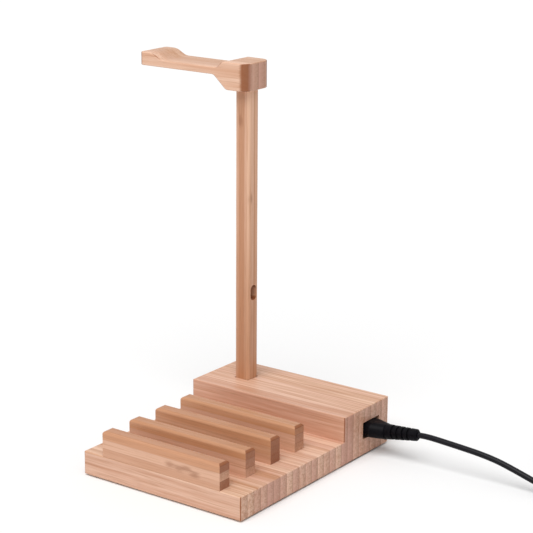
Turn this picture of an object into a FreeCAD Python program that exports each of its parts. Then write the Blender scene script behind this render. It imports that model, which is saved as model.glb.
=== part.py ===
"""Charging station organizer in laminated bamboo, with a built-in charger and its mains lead.

Millimetres, +Z up. The origin lies on the table under the middle of the base. +X is to the right
of someone who faces the front rail, and +Y runs from the front rail back to the rear block.
"""
import FreeCAD, Part
import math
import os

Vector = FreeCAD.Vector
X_AXIS = Vector(1, 0, 0)
Y_AXIS = Vector(0, 1, 0)
Z_AXIS = Vector(0, 0, 1)

# Base board and the pads under it
BASE_THICKNESS = 15.8
EDGE_ROUND = 0.8
PAD_THICKNESS = 1.4
FRONT_PAD_DEPTH = 92.0
FRONT_PAD_FRONT_INSET = 8.0
FRONT_PAD_SIDE_INSET = 11.5
FRONT_PAD_CORNER = 8.0
SIDE_PAD_WIDTH = 6.0
SIDE_PAD_LENGTH = 40.0
SIDE_PAD_INSET = 1.5
SIDE_PAD_FROM_BACK = 8.0
SIDE_PAD_END_FLAT = 0.4

# Front rail and the dividers behind it, which share one section
RAIL_NAMES = ("front_rail", "divider_1", "divider_2", "divider_3")
RAIL_LENGTH = 96.4
RAIL_THICKNESS = 10.0
RAIL_HEIGHT = 17.7
RAIL_TOP_FLAT = 5.6
SLOT_WIDTH = 17.0
TROUGH_WIDTH = 24.3

# Wood of the rear block round the post and round the bay for the charger
POST_LEFT_WALL = 21.0
POST_RIGHT_WALL = 17.2
BAY_RIGHT_WALL = 13.0
BAY_FRONT_WALL = 7.5
BAY_ROOF = 3.7
PLUG_HOLE_SIDE_MARGIN = 1.2
PLUG_HOLE_TOP_MARGIN = 0.55
USB_WINDOW_MARGIN = 3.0
CUT_OVERRUN = 0.4

# Glue dowels
DOWEL_DIAMETER = 6.0
DOWEL_LENGTH = 18.0
DOWEL_GAP = 0.05
DOWEL_END_GAP = 0.3
RAIL_DOWEL_INSET = 15.5
BLOCK_DOWEL_INSET = 6.5
BLOCK_DOWEL_FROM_FRONT = 9.0
BLOCK_DOWEL_FROM_BACK = 5.5

# Post with its cable hole
POST_SIDE = 12.0
POST_ROUND = 2.6
MORTISE_DEPTH = 12.0
MORTISE_GAP = 0.1
CABLE_HOLE_WIDTH = 6.5
CABLE_HOLE_HEIGHT = 11.0
CABLE_HOLE_RISE = 63.3

# Bolt, washer and insert that hold the post from below
BOLT_DIAMETER = 5.0
BOLT_HEAD_DIAMETER = 8.5
BOLT_HEAD_HEIGHT = 3.0
BOLT_HEAD_SINK = 1.0
BOLT_SOCKET = 4.0
BOLT_SOCKET_DEPTH = 1.5
BOLT_END_GAP = 2.0
BOLT_GAP = 0.25
WASHER_DIAMETER = 12.0
WASHER_THICKNESS = 1.0
WASHER_GAP = 1.0
INSERT_DIAMETER = 8.0
INSERT_LENGTH = 12.0
INSERT_GAP = 0.05

# Hanger arm, whose top is the top of the whole organizer
OVERALL_HEIGHT = 260.6
ARM_LENGTH = 92.0
ARM_WIDTH = 28.8
ARM_THICKNESS = 5.0
HEAD_RIGHT_MARGIN = 3.5
HEAD_LEFT_MARGIN = 1.7
HEAD_LENGTH = 20.6
HEAD_HEIGHT = 18.9
HEAD_SLOPE = 4.1
HEAD_BEND = 5.0
HEAD_CORNER = 7.2
SWEEP_LENGTH = 10.6
SWEEP_BEND = 4.0
LIP_HEIGHT = 4.4
LIP_LENGTH = 10.4
LIP_SLOPE = 8.0
LIP_BEND = 12.0
LIP_CORNER = 2.5

# Bottom cover and its countersunk screws
COVER_THICKNESS = 3.0
COVER_LEDGE = 6.0
COVER_BACK_WALL = 2.0
COVER_GAP = 0.2
COVER_SCREW_SPACING = 44.0
SCREW_HEAD_DIAMETER = 4.8
SCREW_HEAD_HEIGHT = 1.6
SCREW_DIAMETER = 2.5
SCREW_LENGTH = 7.0
SCREW_GAP = 0.05
SCREW_END_GAP = 0.3

# Charger case
CASE_HEIGHT = 26.2
CASE_WALL = 2.0
CASE_GAP = 0.4
BOSS_DIAMETER = 6.0
BOSS_PORT_GAP = 0.3
BOSS_PIN_GAP = 3.0
CASE_SCREW_DIAMETER = 2.4
CASE_SCREW_HEAD = 4.4
CASE_SCREW_HEAD_HEIGHT = 1.8
CASE_SCREW_HEAD_SINK = 0.4
CASE_SCREW_LENGTH = 14.0
CASE_SCREW_INSET = 5.5
INLET_REST_LENGTH = 6.0
INLET_REST_INSET = 2.0

# Circuit board and what stands on it
BOARD_THICKNESS = 1.6
BOARD_GAP = 0.2
CORE_LENGTH = 18.0
CORE_DEPTH = 8.0
CORE_LIMB = 3.6
CORE_YOKE = 2.7
CORE_HEADROOM = 2.45
CORE_BOSS_GAP = 0.5
WINDING_OVERHANG = 2.4
WINDING_ROUND = 1.0
WINDING_GAP = 0.2
WINDING_BOSS_GAP = 0.35
CAPACITOR_GAP = 1.0
# Each capacitor's diameter, its room below the case's roof, and its place in depth from the core's middle
CAPACITORS = ((8.0, 1.45, 4.6), (7.0, 3.45, -4.6))

# USB ports, which face the back
PORT_NAMES = ("usb_port_1", "usb_port_2", "usb_port_3")
PORT_WIDTH = 13.5
PORT_HEIGHT = 6.1
PORT_DEPTH = 14.0
PORT_WALL = 0.4
PORT_SPACE = 2.5
PORT_FROM_END = 1.0
PORT_GAP = 0.2
PORT_PIN_GAP = 0.82
TONGUE_SIDE_GAP = 0.8
TONGUE_THICKNESS = 1.9
TONGUE_SETBACK = 1.0
TONGUE_BACK = 4.0

# Mains inlet with two pins, and the lead's connector that plugs into it
INLET_RISE = 16.8
INLET_REAR_GAP = 1.7
INLET_SIDE_WALL = 1.3
INLET_TOP_WALL = 1.7
INLET_BACK_WALL = 3.0
INLET_RECESS = 9.5
PIN_DIAMETER = 2.36
PIN_SPACING = 8.6
PIN_LENGTH = 8.0
PIN_TAIL = 2.0
PIN_GAP = 0.02
NOSE_WIDTH = 15.4
NOSE_HEIGHT = 8.0
NOSE_GAP = 0.3
NOSE_END_GAP = 0.5
GRIP_WIDTH = 17.6
GRIP_HEIGHT = 11.0
GRIP_LENGTH = 26.4
GRIP_TAPER = 10.0
GRIP_NECK_FLAT = 1.4
CONTACT_WALL = 0.5
CONTACT_GAP = 0.15
CONTACT_END_GAP = 1.5

# Ribbed strain relief on the connector, which the cord lifts a little
RELIEF_LIFT_DEGREES = 7.0
RELIEF_LENGTH = 24.6
RELIEF_START_DIAMETER = 10.6
RELIEF_END_DIAMETER = 8.0
RELIEF_GROOVES = 4
RELIEF_GROOVE_WIDTH = 2.0
RELIEF_GROOVE_DEPTH = 1.0
RELIEF_PLAIN = 4.0

# Mains cord: a first run straight on from the strain relief, then a route of offsets from the relief's end
CORD_DIAMETER = 4.0
CORD_FIRST_RUN = 4.0
CORD_ROUTE = (
    (12.0, 0.2, 0.3),
    (22.0, 0.6, -0.5),
    (34.0, 1.1, -1.5),
    (46.0, 1.7, -2.7),
    (57.0, 2.2, -4.4),
    (67.0, 2.6, -6.9),
    (80.0, 3.2, -10.9),
    (95.0, 4.0, -15.6),
    (109.2, 4.6, -18.1),
    (121.2, 4.6, -18.1),
)
CORD_ARC_SHARE = 0.45

# Coil of the put-away length: two layers that spiral in, climb, and spiral out again
COIL_INNER_RADIUS = 15.5
COIL_TURN_GAP = 0.6
COIL_LAYER_GAP = 0.6
COIL_HALF_TURNS = 3.729
COIL_TURN_SOFTENING = 0.12
COIL_CLIMB_TURNS = 0.5
COIL_START_DEGREES = -90.0
COIL_STEPS_PER_TURN = 4
COIL_SAMPLES_PER_TURN = 72
TIE_WIDTH = 6.0
TIE_THICKNESS = 0.8
TIE_GAP = 0.3
TIE_ROUND = 1.6

# Two-pin mains plug at the end of the cord
PLUG_RELIEF_LENGTH = 18.0
PLUG_RELIEF_START = 5.0
PLUG_RELIEF_END = 9.0
PLUG_NECK_WIDTH = 14.0
PLUG_WIDTH = 35.0
PLUG_THICKNESS = 13.8
PLUG_LENGTH = 36.0
PLUG_SHOULDER = 20.0
PLUG_ROUND = 2.5
PLUG_PIN_DIAMETER = 4.0
PLUG_PIN_SPACING = 18.6
PLUG_PIN_LENGTH = 19.0
PLUG_PIN_DEPTH = 10.0

# Tolerances for comparing directions and places
PARALLEL_SINE = 0.01
SAME_PLACE = 0.01
HEADING_STEP = 1e-5

# Sizes that follow from what a piece holds
RAIL_PITCH = RAIL_THICKNESS + SLOT_WIDTH
RAIL_ROUND = (RAIL_THICKNESS - RAIL_TOP_FLAT) / 2
INLET_WIDTH = NOSE_WIDTH + 2 * (NOSE_GAP + INLET_SIDE_WALL)
INLET_HEIGHT = NOSE_HEIGHT + 2 * (NOSE_GAP + INLET_TOP_WALL)
INLET_LENGTH = INLET_RECESS + INLET_BACK_WALL
PLUG_HOLE_WIDTH = GRIP_WIDTH + 2 * PLUG_HOLE_SIDE_MARGIN
PLUG_HOLE_HEIGHT = GRIP_HEIGHT + 2 * PLUG_HOLE_TOP_MARGIN
CONTACT_LENGTH = PIN_LENGTH - NOSE_END_GAP + CONTACT_END_GAP
PORT_PITCH = PORT_WIDTH + PORT_SPACE
PORT_ROW = PORT_WIDTH + (len(PORT_NAMES) - 1) * PORT_PITCH
TONGUE_WIDTH = PORT_WIDTH - 2 * (PORT_WALL + TONGUE_SIDE_GAP)
CASE_SCREW_SINK = CASE_SCREW_HEAD_HEIGHT + CASE_SCREW_HEAD_SINK
CASE_SCREW_ROWS_APART = CORE_DEPTH + 2 * CORE_BOSS_GAP + BOSS_DIAMETER
PIN_ROOM = PORT_PIN_GAP + PIN_DIAMETER / 2 + PIN_TAIL
CASE_LENGTH = CASE_WALL + BOARD_GAP + PORT_FROM_END + PORT_ROW + PIN_ROOM + INLET_LENGTH
CASE_DEPTH = CASE_SCREW_INSET + CASE_SCREW_ROWS_APART + BOSS_DIAMETER / 2 + BOSS_PORT_GAP + PORT_DEPTH
BAY_LENGTH = CASE_LENGTH + 2 * CASE_GAP
BAY_DEPTH = CASE_DEPTH + 2 * CASE_GAP
BAY_REAR_WALL = COVER_LEDGE + COVER_BACK_WALL
BLOCK_DEPTH = BAY_FRONT_WALL + BAY_DEPTH + BAY_REAR_WALL
BASE_WIDTH = POST_LEFT_WALL + POST_SIDE + POST_RIGHT_WALL + BAY_LENGTH + BAY_RIGHT_WALL
SLOTS_DEPTH = RAIL_THICKNESS + (len(RAIL_NAMES) - 1) * RAIL_PITCH
BASE_DEPTH = SLOTS_DEPTH + TROUGH_WIDTH + BLOCK_DEPTH
COUNTERBORE_DIAMETER = WASHER_DIAMETER + 2 * WASHER_GAP
COUNTERBORE_DEPTH = BOLT_HEAD_HEIGHT + WASHER_THICKNESS + BOLT_HEAD_SINK
COIL_PITCH = CORD_DIAMETER + COIL_TURN_GAP
COIL_LAYER_RISE = CORD_DIAMETER + COIL_LAYER_GAP

# Levels and places that follow
SIDE_X = BASE_WIDTH / 2
FRONT_Y = -BASE_DEPTH / 2
BACK_Y = BASE_DEPTH / 2
BLOCK_FRONT_Y = BACK_Y - BLOCK_DEPTH
UNDERSIDE_Z = PAD_THICKNESS
TRAY_Z = UNDERSIDE_Z + BASE_THICKNESS

POST_X = -SIDE_X + POST_LEFT_WALL + POST_SIDE / 2
POST_Y = BACK_Y - BLOCK_DEPTH / 2
BAY_X = (SIDE_X - BAY_RIGHT_WALL - BAY_LENGTH, SIDE_X - BAY_RIGHT_WALL)
BAY_Y = (BACK_Y - BAY_REAR_WALL - BAY_DEPTH, BACK_Y - BAY_REAR_WALL)
BAY_Z = (UNDERSIDE_Z + COVER_THICKNESS, UNDERSIDE_Z + COVER_THICKNESS + CASE_HEIGHT + CASE_GAP)
BLOCK_TOP_Z = BAY_Z[1] + BAY_ROOF
POST_BOTTOM_Z = BLOCK_TOP_Z - MORTISE_DEPTH
POST_TOP_Z = OVERALL_HEIGHT - HEAD_HEIGHT
CABLE_HOLE_Z = BLOCK_TOP_Z + CABLE_HOLE_RISE
ARM_RIGHT_X = POST_X + POST_SIDE / 2 + HEAD_RIGHT_MARGIN
ARM_LEFT_X = ARM_RIGHT_X - ARM_LENGTH

CASE_X = (BAY_X[0] + CASE_GAP, BAY_X[1] - CASE_GAP)
CASE_Y = (BAY_Y[0] + CASE_GAP, BAY_Y[1] - CASE_GAP)
CASE_Z = (BAY_Z[0], BAY_Z[1] - CASE_GAP)
CASE_ROOF_Z = CASE_Z[1] - CASE_WALL

INLET_Y = CASE_Y[1] - CASE_WALL - INLET_REAR_GAP - INLET_WIDTH / 2
INLET_Z = UNDERSIDE_Z + INLET_RISE
INLET_FACE_X = CASE_X[1]
INLET_FLOOR_X = INLET_FACE_X - INLET_RECESS
INLET_BACK_X = INLET_FACE_X - INLET_LENGTH
PIN_BEND_X = INLET_BACK_X - PIN_TAIL
PIN_PLACES = (INLET_Y - PIN_SPACING / 2, INLET_Y + PIN_SPACING / 2)
NOSE_X = INLET_FLOOR_X + NOSE_END_GAP
GRIP_X = (INLET_FACE_X + NOSE_GAP, INLET_FACE_X + NOSE_GAP + GRIP_LENGTH)
RELIEF_START = Vector(GRIP_X[1], INLET_Y, INLET_Z)
RELIEF_LIFT = math.radians(RELIEF_LIFT_DEGREES)
RELIEF_HEADING = Vector(math.cos(RELIEF_LIFT), 0, math.sin(RELIEF_LIFT))
EXIT = RELIEF_START + RELIEF_HEADING * RELIEF_LENGTH

BOARD_X = (CASE_X[0] + CASE_WALL + BOARD_GAP, INLET_BACK_X - BOARD_GAP)
BOARD_TOP_Z = INLET_Z - PORT_HEIGHT / 2
BOARD_BOTTOM_Z = BOARD_TOP_Z - BOARD_THICKNESS
PORT_MIDDLE_X = BOARD_X[0] + PORT_FROM_END + PORT_ROW / 2
PORT_PLACES = tuple(
    PORT_MIDDLE_X - PORT_ROW / 2 + PORT_WIDTH / 2 + PORT_PITCH * number for number in range(len(PORT_NAMES))
)
CASE_SCREW_COLUMNS = (
    CASE_X[0] + CASE_SCREW_INSET,
    PIN_BEND_X - PIN_DIAMETER / 2 - BOSS_PIN_GAP - BOSS_DIAMETER / 2,
)
CASE_SCREW_FRONT_Y = CASE_Y[0] + CASE_SCREW_INSET
CASE_SCREW_ROWS = (CASE_SCREW_FRONT_Y, CASE_SCREW_FRONT_Y + CASE_SCREW_ROWS_APART)
CASE_SCREW_PLACES = tuple((x, y) for x in CASE_SCREW_COLUMNS for y in CASE_SCREW_ROWS)
WINDING_RIGHT_X = CASE_SCREW_COLUMNS[1] - BOSS_DIAMETER / 2 - WINDING_BOSS_GAP
CORE_X = WINDING_RIGHT_X + WINDING_GAP + CORE_LIMB - CORE_LENGTH / 2
CORE_Y = sum(CASE_SCREW_ROWS) / 2
CORE_TOP_Z = CASE_ROOF_Z - CORE_HEADROOM
COVER_SCREW_PLACES = tuple(
    ((BAY_X[0] + BAY_X[1]) / 2 + COVER_SCREW_SPACING / 2 * side, edge)
    for side in (-1, 1)
    for edge in (BAY_Y[0] - COVER_LEDGE / 2, BAY_Y[1] + COVER_LEDGE / 2)
)
RAIL_DOWEL_X = RAIL_LENGTH / 2 - RAIL_DOWEL_INSET
BLOCK_DOWEL_PLACES = tuple(
    (side * (SIDE_X - BLOCK_DOWEL_INSET), y)
    for side in (-1, 1)
    for y in (BLOCK_FRONT_Y + BLOCK_DOWEL_FROM_FRONT, BACK_Y - BLOCK_DOWEL_FROM_BACK)
)


# Shape helpers
def span(middle, width):
    """Low and high ends of a width about its middle."""
    return (middle - width / 2, middle + width / 2)


def grown(limits, margin):
    """A span with a margin added at both ends."""
    return (limits[0] - margin, limits[1] + margin)


def box(x, y, z):
    """Box between three (low, high) spans."""
    return Part.makeBox(x[1] - x[0], y[1] - y[0], z[1] - z[0], Vector(x[0], y[0], z[0]))


def rod(start, direction, length, diameter):
    """Cylinder that runs from start along a unit direction."""
    return Part.makeCylinder(diameter / 2, length, start, direction)


def upright(x, y, z, diameter):
    """Upright cylinder between two heights."""
    return rod(Vector(x, y, z[0]), Z_AXIS, z[1] - z[0], diameter)


def fused(first, *others):
    """One refined solid from several that touch."""
    return first.fuse(list(others)).removeSplitter()


def oblong_wire(x, y, z, width, height):
    """Round-ended outline across X that is wider than high."""
    left, right = span(y, width - height)
    low, high = span(z, height)
    edges = [
        Part.LineSegment(Vector(x, left, low), Vector(x, right, low)).toShape(),
        Part.Arc(Vector(x, right, low), Vector(x, y + width / 2, z), Vector(x, right, high)).toShape(),
        Part.LineSegment(Vector(x, right, high), Vector(x, left, high)).toShape(),
        Part.Arc(Vector(x, left, high), Vector(x, y - width / 2, z), Vector(x, left, low)).toShape(),
    ]
    return Part.Wire(edges)


def oblong(x, y, z, width, height):
    """Prism along X with a round-ended section."""
    return Part.Face(oblong_wire(x[0], y, z, width, height)).extrude(X_AXIS * (x[1] - x[0]))


def middle_of(edge):
    """Middle point of an edge's parameter range."""
    return edge.valueAt((edge.FirstParameter + edge.LastParameter) / 2)


def runs_along(edge, axis):
    """Whether an edge is straight and parallel to an axis."""
    if len(edge.Vertexes) != 2 or not isinstance(edge.Curve, Part.Line):
        return False
    return edge.tangentAt(edge.FirstParameter).cross(axis).Length < PARALLEL_SINE


def near(first, second):
    """Whether two places along an axis are the same."""
    return abs(first - second) < SAME_PLACE


def rounded(shape, radius, wanted):
    """Shape with each edge rounded for which wanted(edge) is true."""
    return shape.makeFillet(radius, [edge for edge in shape.Edges if wanted(edge)])


def tangent_arc(start, heading, end):
    """Arc edge that leaves start along a unit heading and reaches end."""
    chord = end - start
    length = chord.Length
    along = chord * (1 / length)
    aside = heading - along * heading.dot(along)
    half_angle = math.atan2(aside.Length, heading.dot(along))
    aside.normalize()
    crown = start + chord * 0.5 + aside * (length / 2 * math.tan(half_angle / 2))
    return Part.Arc(start, crown, end).toShape()


def revolved_along_x(profile, start):
    """Solid turned about a line along X from (distance, radius) points."""
    points = [start + Vector(distance, 0, radius) for distance, radius in profile]
    face = Part.Face(Part.makePolygon(points + points[:1]))
    return face.revolve(start, X_AXIS, 360)


# Wooden pieces
def dowel(x, y, seam_z):
    """Glue dowel whose middle lies in the seam between two pieces."""
    return upright(x, y, span(seam_z, DOWEL_LENGTH), DOWEL_DIAMETER)


def dowel_hole(x, y, seam_z):
    """Hole for a glue dowel, cut from both pieces at their seam."""
    reach = DOWEL_LENGTH + 2 * DOWEL_END_GAP
    return upright(x, y, span(seam_z, reach), DOWEL_DIAMETER + 2 * DOWEL_GAP)


def rail_y(number):
    """Span in depth of the front rail, number 0, or of a divider."""
    start = FRONT_Y + RAIL_PITCH * number
    return (start, start + RAIL_THICKNESS)


def rail_dowel_places():
    """Places of the two dowels under the rail and under each divider."""
    return [
        (side * RAIL_DOWEL_X, sum(rail_y(number)) / 2)
        for number in range(len(RAIL_NAMES))
        for side in (-1, 1)
    ]


def plug_tunnel():
    """Rectangular hole in the right side, through to the bay."""
    reach = (BAY_X[1] - CUT_OVERRUN, SIDE_X + CUT_OVERRUN)
    return box(reach, span(INLET_Y, PLUG_HOLE_WIDTH), span(INLET_Z, PLUG_HOLE_HEIGHT))


def usb_window():
    """Window in the back, through to the bay, in front of the USB ports."""
    reach = (BAY_Y[1] - CUT_OVERRUN, BACK_Y + CUT_OVERRUN)
    x = grown(span(PORT_MIDDLE_X, PORT_ROW), USB_WINDOW_MARGIN)
    return box(x, reach, grown(span(INLET_Z, PORT_HEIGHT), USB_WINDOW_MARGIN))


def mortise():
    """Square socket in the top of the rear block for the post."""
    side = POST_SIDE + 2 * MORTISE_GAP
    return box(span(POST_X, side), span(POST_Y, side), (POST_BOTTOM_Z, BLOCK_TOP_Z))


def bolt_way():
    """Stepped hole for the post's bolt, from the underside up to the mortise."""
    shank = upright(POST_X, POST_Y, (UNDERSIDE_Z, POST_BOTTOM_Z), BOLT_DIAMETER + 2 * BOLT_GAP)
    sink = upright(POST_X, POST_Y, (UNDERSIDE_Z, UNDERSIDE_Z + COUNTERBORE_DEPTH), COUNTERBORE_DIAMETER)
    return shank.fuse(sink)


def shared_cuts():
    """Hollows that the base board and the rear block share."""
    bay = box(BAY_X, BAY_Y, (UNDERSIDE_Z, BAY_Z[1]))
    dowels = [dowel_hole(x, y, TRAY_Z) for x, y in BLOCK_DOWEL_PLACES]
    return [bay, plug_tunnel(), usb_window(), mortise(), bolt_way()] + dowels


def cover_y():
    """Span in depth of the rebate that takes the bottom cover."""
    return grown(BAY_Y, COVER_LEDGE)


def base_board():
    """Slab with rounded front edges, open below for the charger and its cover."""
    front = box((-SIDE_X, SIDE_X), (FRONT_Y, BLOCK_FRONT_Y), (UNDERSIDE_Z, TRAY_Z))
    front = rounded(front, EDGE_ROUND, front_edge_wanted)
    rear = box((-SIDE_X, SIDE_X), (BLOCK_FRONT_Y, BACK_Y), (UNDERSIDE_Z, TRAY_Z))
    rear = rounded(rear, EDGE_ROUND, back_corner_wanted)
    rebate = box(BAY_X, cover_y(), (UNDERSIDE_Z, BAY_Z[0]))
    pilot_z = (UNDERSIDE_Z, UNDERSIDE_Z + SCREW_LENGTH + SCREW_END_GAP)
    pilots = [upright(x, y, pilot_z, SCREW_DIAMETER + 2 * SCREW_GAP) for x, y in COVER_SCREW_PLACES]
    dowels = [dowel_hole(x, y, TRAY_Z) for x, y in rail_dowel_places()]
    return fused(front, rear).cut(shared_cuts() + [rebate] + pilots + dowels)


def front_edge_wanted(edge):
    """Whether an edge of the base's front part is one that shows and is rounded."""
    middle = middle_of(edge)
    if runs_along(edge, Z_AXIS):
        return near(middle.y, FRONT_Y)
    return near(middle.z, TRAY_Z) and not near(middle.y, BLOCK_FRONT_Y)


def back_corner_wanted(edge):
    """Whether an edge of the base's rear part is one of its upright corners at the back."""
    return runs_along(edge, Z_AXIS) and near(middle_of(edge).y, BACK_Y)


def rail(number):
    """Front rail or divider, rounded over all round its top."""
    y = rail_y(number)
    top_z = TRAY_Z + RAIL_HEIGHT
    bar = box(span(0, RAIL_LENGTH), y, (TRAY_Z, top_z))
    bar = rounded(bar, RAIL_ROUND, lambda edge: near(middle_of(edge).z, top_z))
    return bar.cut([dowel_hole(x, sum(y) / 2, TRAY_Z) for x in (-RAIL_DOWEL_X, RAIL_DOWEL_X)])


def rear_block():
    """Block over the back of the base, hollow below for the charger."""
    solid = box((-SIDE_X, SIDE_X), (BLOCK_FRONT_Y, BACK_Y), (TRAY_Z, BLOCK_TOP_Z))
    solid = rounded(solid, EDGE_ROUND, lambda edge: not near(middle_of(edge).z, TRAY_Z))
    return solid.cut(shared_cuts())


def cable_hole():
    """Upright round-ended hole along X through the post."""
    straight = CABLE_HOLE_HEIGHT - CABLE_HOLE_WIDTH
    x = span(POST_X, POST_SIDE + 2 * CUT_OVERRUN)
    core = box(x, span(POST_Y, CABLE_HOLE_WIDTH), span(CABLE_HOLE_Z, straight))
    ends = [
        rod(Vector(x[0], POST_Y, z), X_AXIS, x[1] - x[0], CABLE_HOLE_WIDTH)
        for z in span(CABLE_HOLE_Z, straight)
    ]
    return fused(core, *ends)


def post():
    """Square post, with its cable hole and the holes in its two ends."""
    bar = box(span(POST_X, POST_SIDE), span(POST_Y, POST_SIDE), (POST_BOTTOM_Z, POST_TOP_Z))
    bar = rounded(bar, POST_ROUND, lambda edge: runs_along(edge, Z_AXIS))
    insert_z = (POST_BOTTOM_Z, POST_BOTTOM_Z + INSERT_LENGTH)
    insert_seat = upright(POST_X, POST_Y, insert_z, INSERT_DIAMETER + 2 * INSERT_GAP)
    return bar.cut([cable_hole(), insert_seat, dowel_hole(POST_X, POST_Y, POST_TOP_Z)])


def arm_corners():
    """Corners of the hanger arm's side outline, each with the radius of its bend, or 0 where it is sharp."""
    top = POST_TOP_Z + HEAD_HEIGHT
    saddle = top - LIP_HEIGHT
    under = saddle - ARM_THICKNESS
    head_end = ARM_RIGHT_X - HEAD_LENGTH
    lip_end = ARM_LEFT_X + LIP_LENGTH
    sweep_end = POST_X - POST_SIDE / 2 - HEAD_LEFT_MARGIN
    return [
        (sweep_end, POST_TOP_Z, SWEEP_BEND),
        (ARM_RIGHT_X, POST_TOP_Z, 0),
        (ARM_RIGHT_X, top, 0),
        (head_end, top, HEAD_BEND),
        (head_end - HEAD_SLOPE, saddle, HEAD_BEND),
        (lip_end + LIP_SLOPE, saddle, LIP_BEND),
        (lip_end, top, LIP_BEND),
        (ARM_LEFT_X, top, 0),
        (ARM_LEFT_X, under, 0),
        (sweep_end - SWEEP_LENGTH, under, SWEEP_BEND),
    ]


def hanger_arm():
    """Arm with a thick end on the post, a thin saddle and a raised lip."""
    corners = arm_corners()
    front_y = POST_Y - ARM_WIDTH / 2
    outline = Part.makePolygon([Vector(x, front_y, z) for x, z, bend in corners + corners[:1]])
    arm = Part.Face(outline).extrude(Y_AXIS * ARM_WIDTH)
    for x, radius in ((ARM_RIGHT_X, HEAD_CORNER), (ARM_LEFT_X, LIP_CORNER)):
        arm = rounded(arm, radius, lambda edge: runs_along(edge, Z_AXIS) and near(middle_of(edge).x, x))
    for x, z, bend in corners:
        if bend:
            corner = Vector(x, POST_Y, z)
            arm = rounded(arm, bend, lambda edge: near((middle_of(edge) - corner).Length, 0))
    arm = rounded(arm, EDGE_ROUND, lambda edge: not (runs_along(edge, Y_AXIS) or runs_along(edge, Z_AXIS)))
    return arm.cut(dowel_hole(POST_X, POST_Y, POST_TOP_Z))


# Metal that holds the post
def post_insert():
    """Threaded insert in the post's lower end."""
    z = (POST_BOTTOM_Z, POST_BOTTOM_Z + INSERT_LENGTH)
    bore = upright(POST_X, POST_Y, z, BOLT_DIAMETER + 2 * INSERT_GAP)
    return upright(POST_X, POST_Y, z, INSERT_DIAMETER).cut(bore)


def post_washer():
    """Washer against the top of the counterbore."""
    top = UNDERSIDE_Z + COUNTERBORE_DEPTH
    z = (top - WASHER_THICKNESS, top)
    bore = upright(POST_X, POST_Y, z, BOLT_DIAMETER + 2 * BOLT_GAP)
    return upright(POST_X, POST_Y, z, WASHER_DIAMETER).cut(bore)


def post_bolt():
    """Socket-head bolt from the underside into the insert."""
    seat = UNDERSIDE_Z + COUNTERBORE_DEPTH - WASHER_THICKNESS
    head = upright(POST_X, POST_Y, (seat - BOLT_HEAD_HEIGHT, seat), BOLT_HEAD_DIAMETER)
    shank_z = (seat, POST_BOTTOM_Z + INSERT_LENGTH - BOLT_END_GAP)
    shank = upright(POST_X, POST_Y, shank_z, BOLT_DIAMETER)
    corners = [
        Vector(POST_X, POST_Y, seat - BOLT_HEAD_HEIGHT)
        + Vector(math.cos(corner * math.pi / 3), math.sin(corner * math.pi / 3), 0) * (BOLT_SOCKET / 2)
        for corner in range(7)
    ]
    socket = Part.Face(Part.makePolygon(corners)).extrude(Z_AXIS * BOLT_SOCKET_DEPTH)
    return fused(head, shank).cut(socket)


# Underside
def cover_screw(x, y, gap):
    """Countersunk screw from the underside, or with a gap the hole that it needs."""
    sink = SCREW_HEAD_HEIGHT
    head = Part.makeCone(
        SCREW_HEAD_DIAMETER / 2 + gap, SCREW_DIAMETER / 2 + gap, sink, Vector(x, y, UNDERSIDE_Z)
    )
    shank = upright(x, y, (UNDERSIDE_Z + sink, UNDERSIDE_Z + SCREW_LENGTH), SCREW_DIAMETER + 2 * gap)
    return fused(head, shank)


def bottom_cover():
    """Flat cover in its rebate under the charger."""
    plate = box(grown(BAY_X, -COVER_GAP), grown(cover_y(), -COVER_GAP), (UNDERSIDE_Z, BAY_Z[0]))
    return plate.cut([cover_screw(x, y, SCREW_GAP) for x, y in COVER_SCREW_PLACES])


def front_pad():
    """Large anti-slip pad that covers the middle of the underside."""
    start = FRONT_Y + FRONT_PAD_FRONT_INSET
    x = grown((-SIDE_X, SIDE_X), -FRONT_PAD_SIDE_INSET)
    pad = box(x, (start, start + FRONT_PAD_DEPTH), (0, PAD_THICKNESS))
    return rounded(pad, FRONT_PAD_CORNER, lambda edge: runs_along(edge, Z_AXIS))


def side_pads():
    """Anti-slip strips under the two ends of the rear block."""
    x = SIDE_X - SIDE_PAD_INSET - SIDE_PAD_WIDTH / 2
    end = BACK_Y - SIDE_PAD_FROM_BACK
    strips = [
        box(span(side * x, SIDE_PAD_WIDTH), (end - SIDE_PAD_LENGTH, end), (0, PAD_THICKNESS))
        for side in (-1, 1)
    ]
    corner = (SIDE_PAD_WIDTH - SIDE_PAD_END_FLAT) / 2
    return [rounded(strip, corner, lambda edge: runs_along(edge, Z_AXIS)) for strip in strips]


# Charger
def inlet_body(gap):
    """Outer block of the mains inlet, or with a gap the room that it needs."""
    return box(
        (INLET_BACK_X - gap, INLET_FACE_X + gap),
        span(INLET_Y, INLET_WIDTH + 2 * gap),
        span(INLET_Z, INLET_HEIGHT + 2 * gap),
    )


def port_body(x, gap):
    """Outer block of a USB port, or with a gap the room that it needs."""
    return box(
        span(x, PORT_WIDTH + 2 * gap),
        (CASE_Y[1] - PORT_DEPTH - gap, CASE_Y[1] + gap),
        (BOARD_TOP_Z - gap, BOARD_TOP_Z + PORT_HEIGHT + gap),
    )


def case_openings():
    """Openings in the case for the inlet and the USB ports."""
    return [inlet_body(PORT_GAP)] + [port_body(x, PORT_GAP) for x in PORT_PLACES]


def case_half(z, hollow_z):
    """Half of the case: a box between two heights with its hollow taken out."""
    hollow = box(grown(CASE_X, -CASE_WALL), grown(CASE_Y, -CASE_WALL), hollow_z)
    return box(CASE_X, CASE_Y, z).cut(hollow)


def inlet_rest(z):
    """Rest of the case that holds the inlet from below or above."""
    x = span((INLET_BACK_X + INLET_FACE_X) / 2, INLET_REST_LENGTH)
    return box(x, span(INLET_Y, INLET_WIDTH - 2 * INLET_REST_INSET), z)


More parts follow.
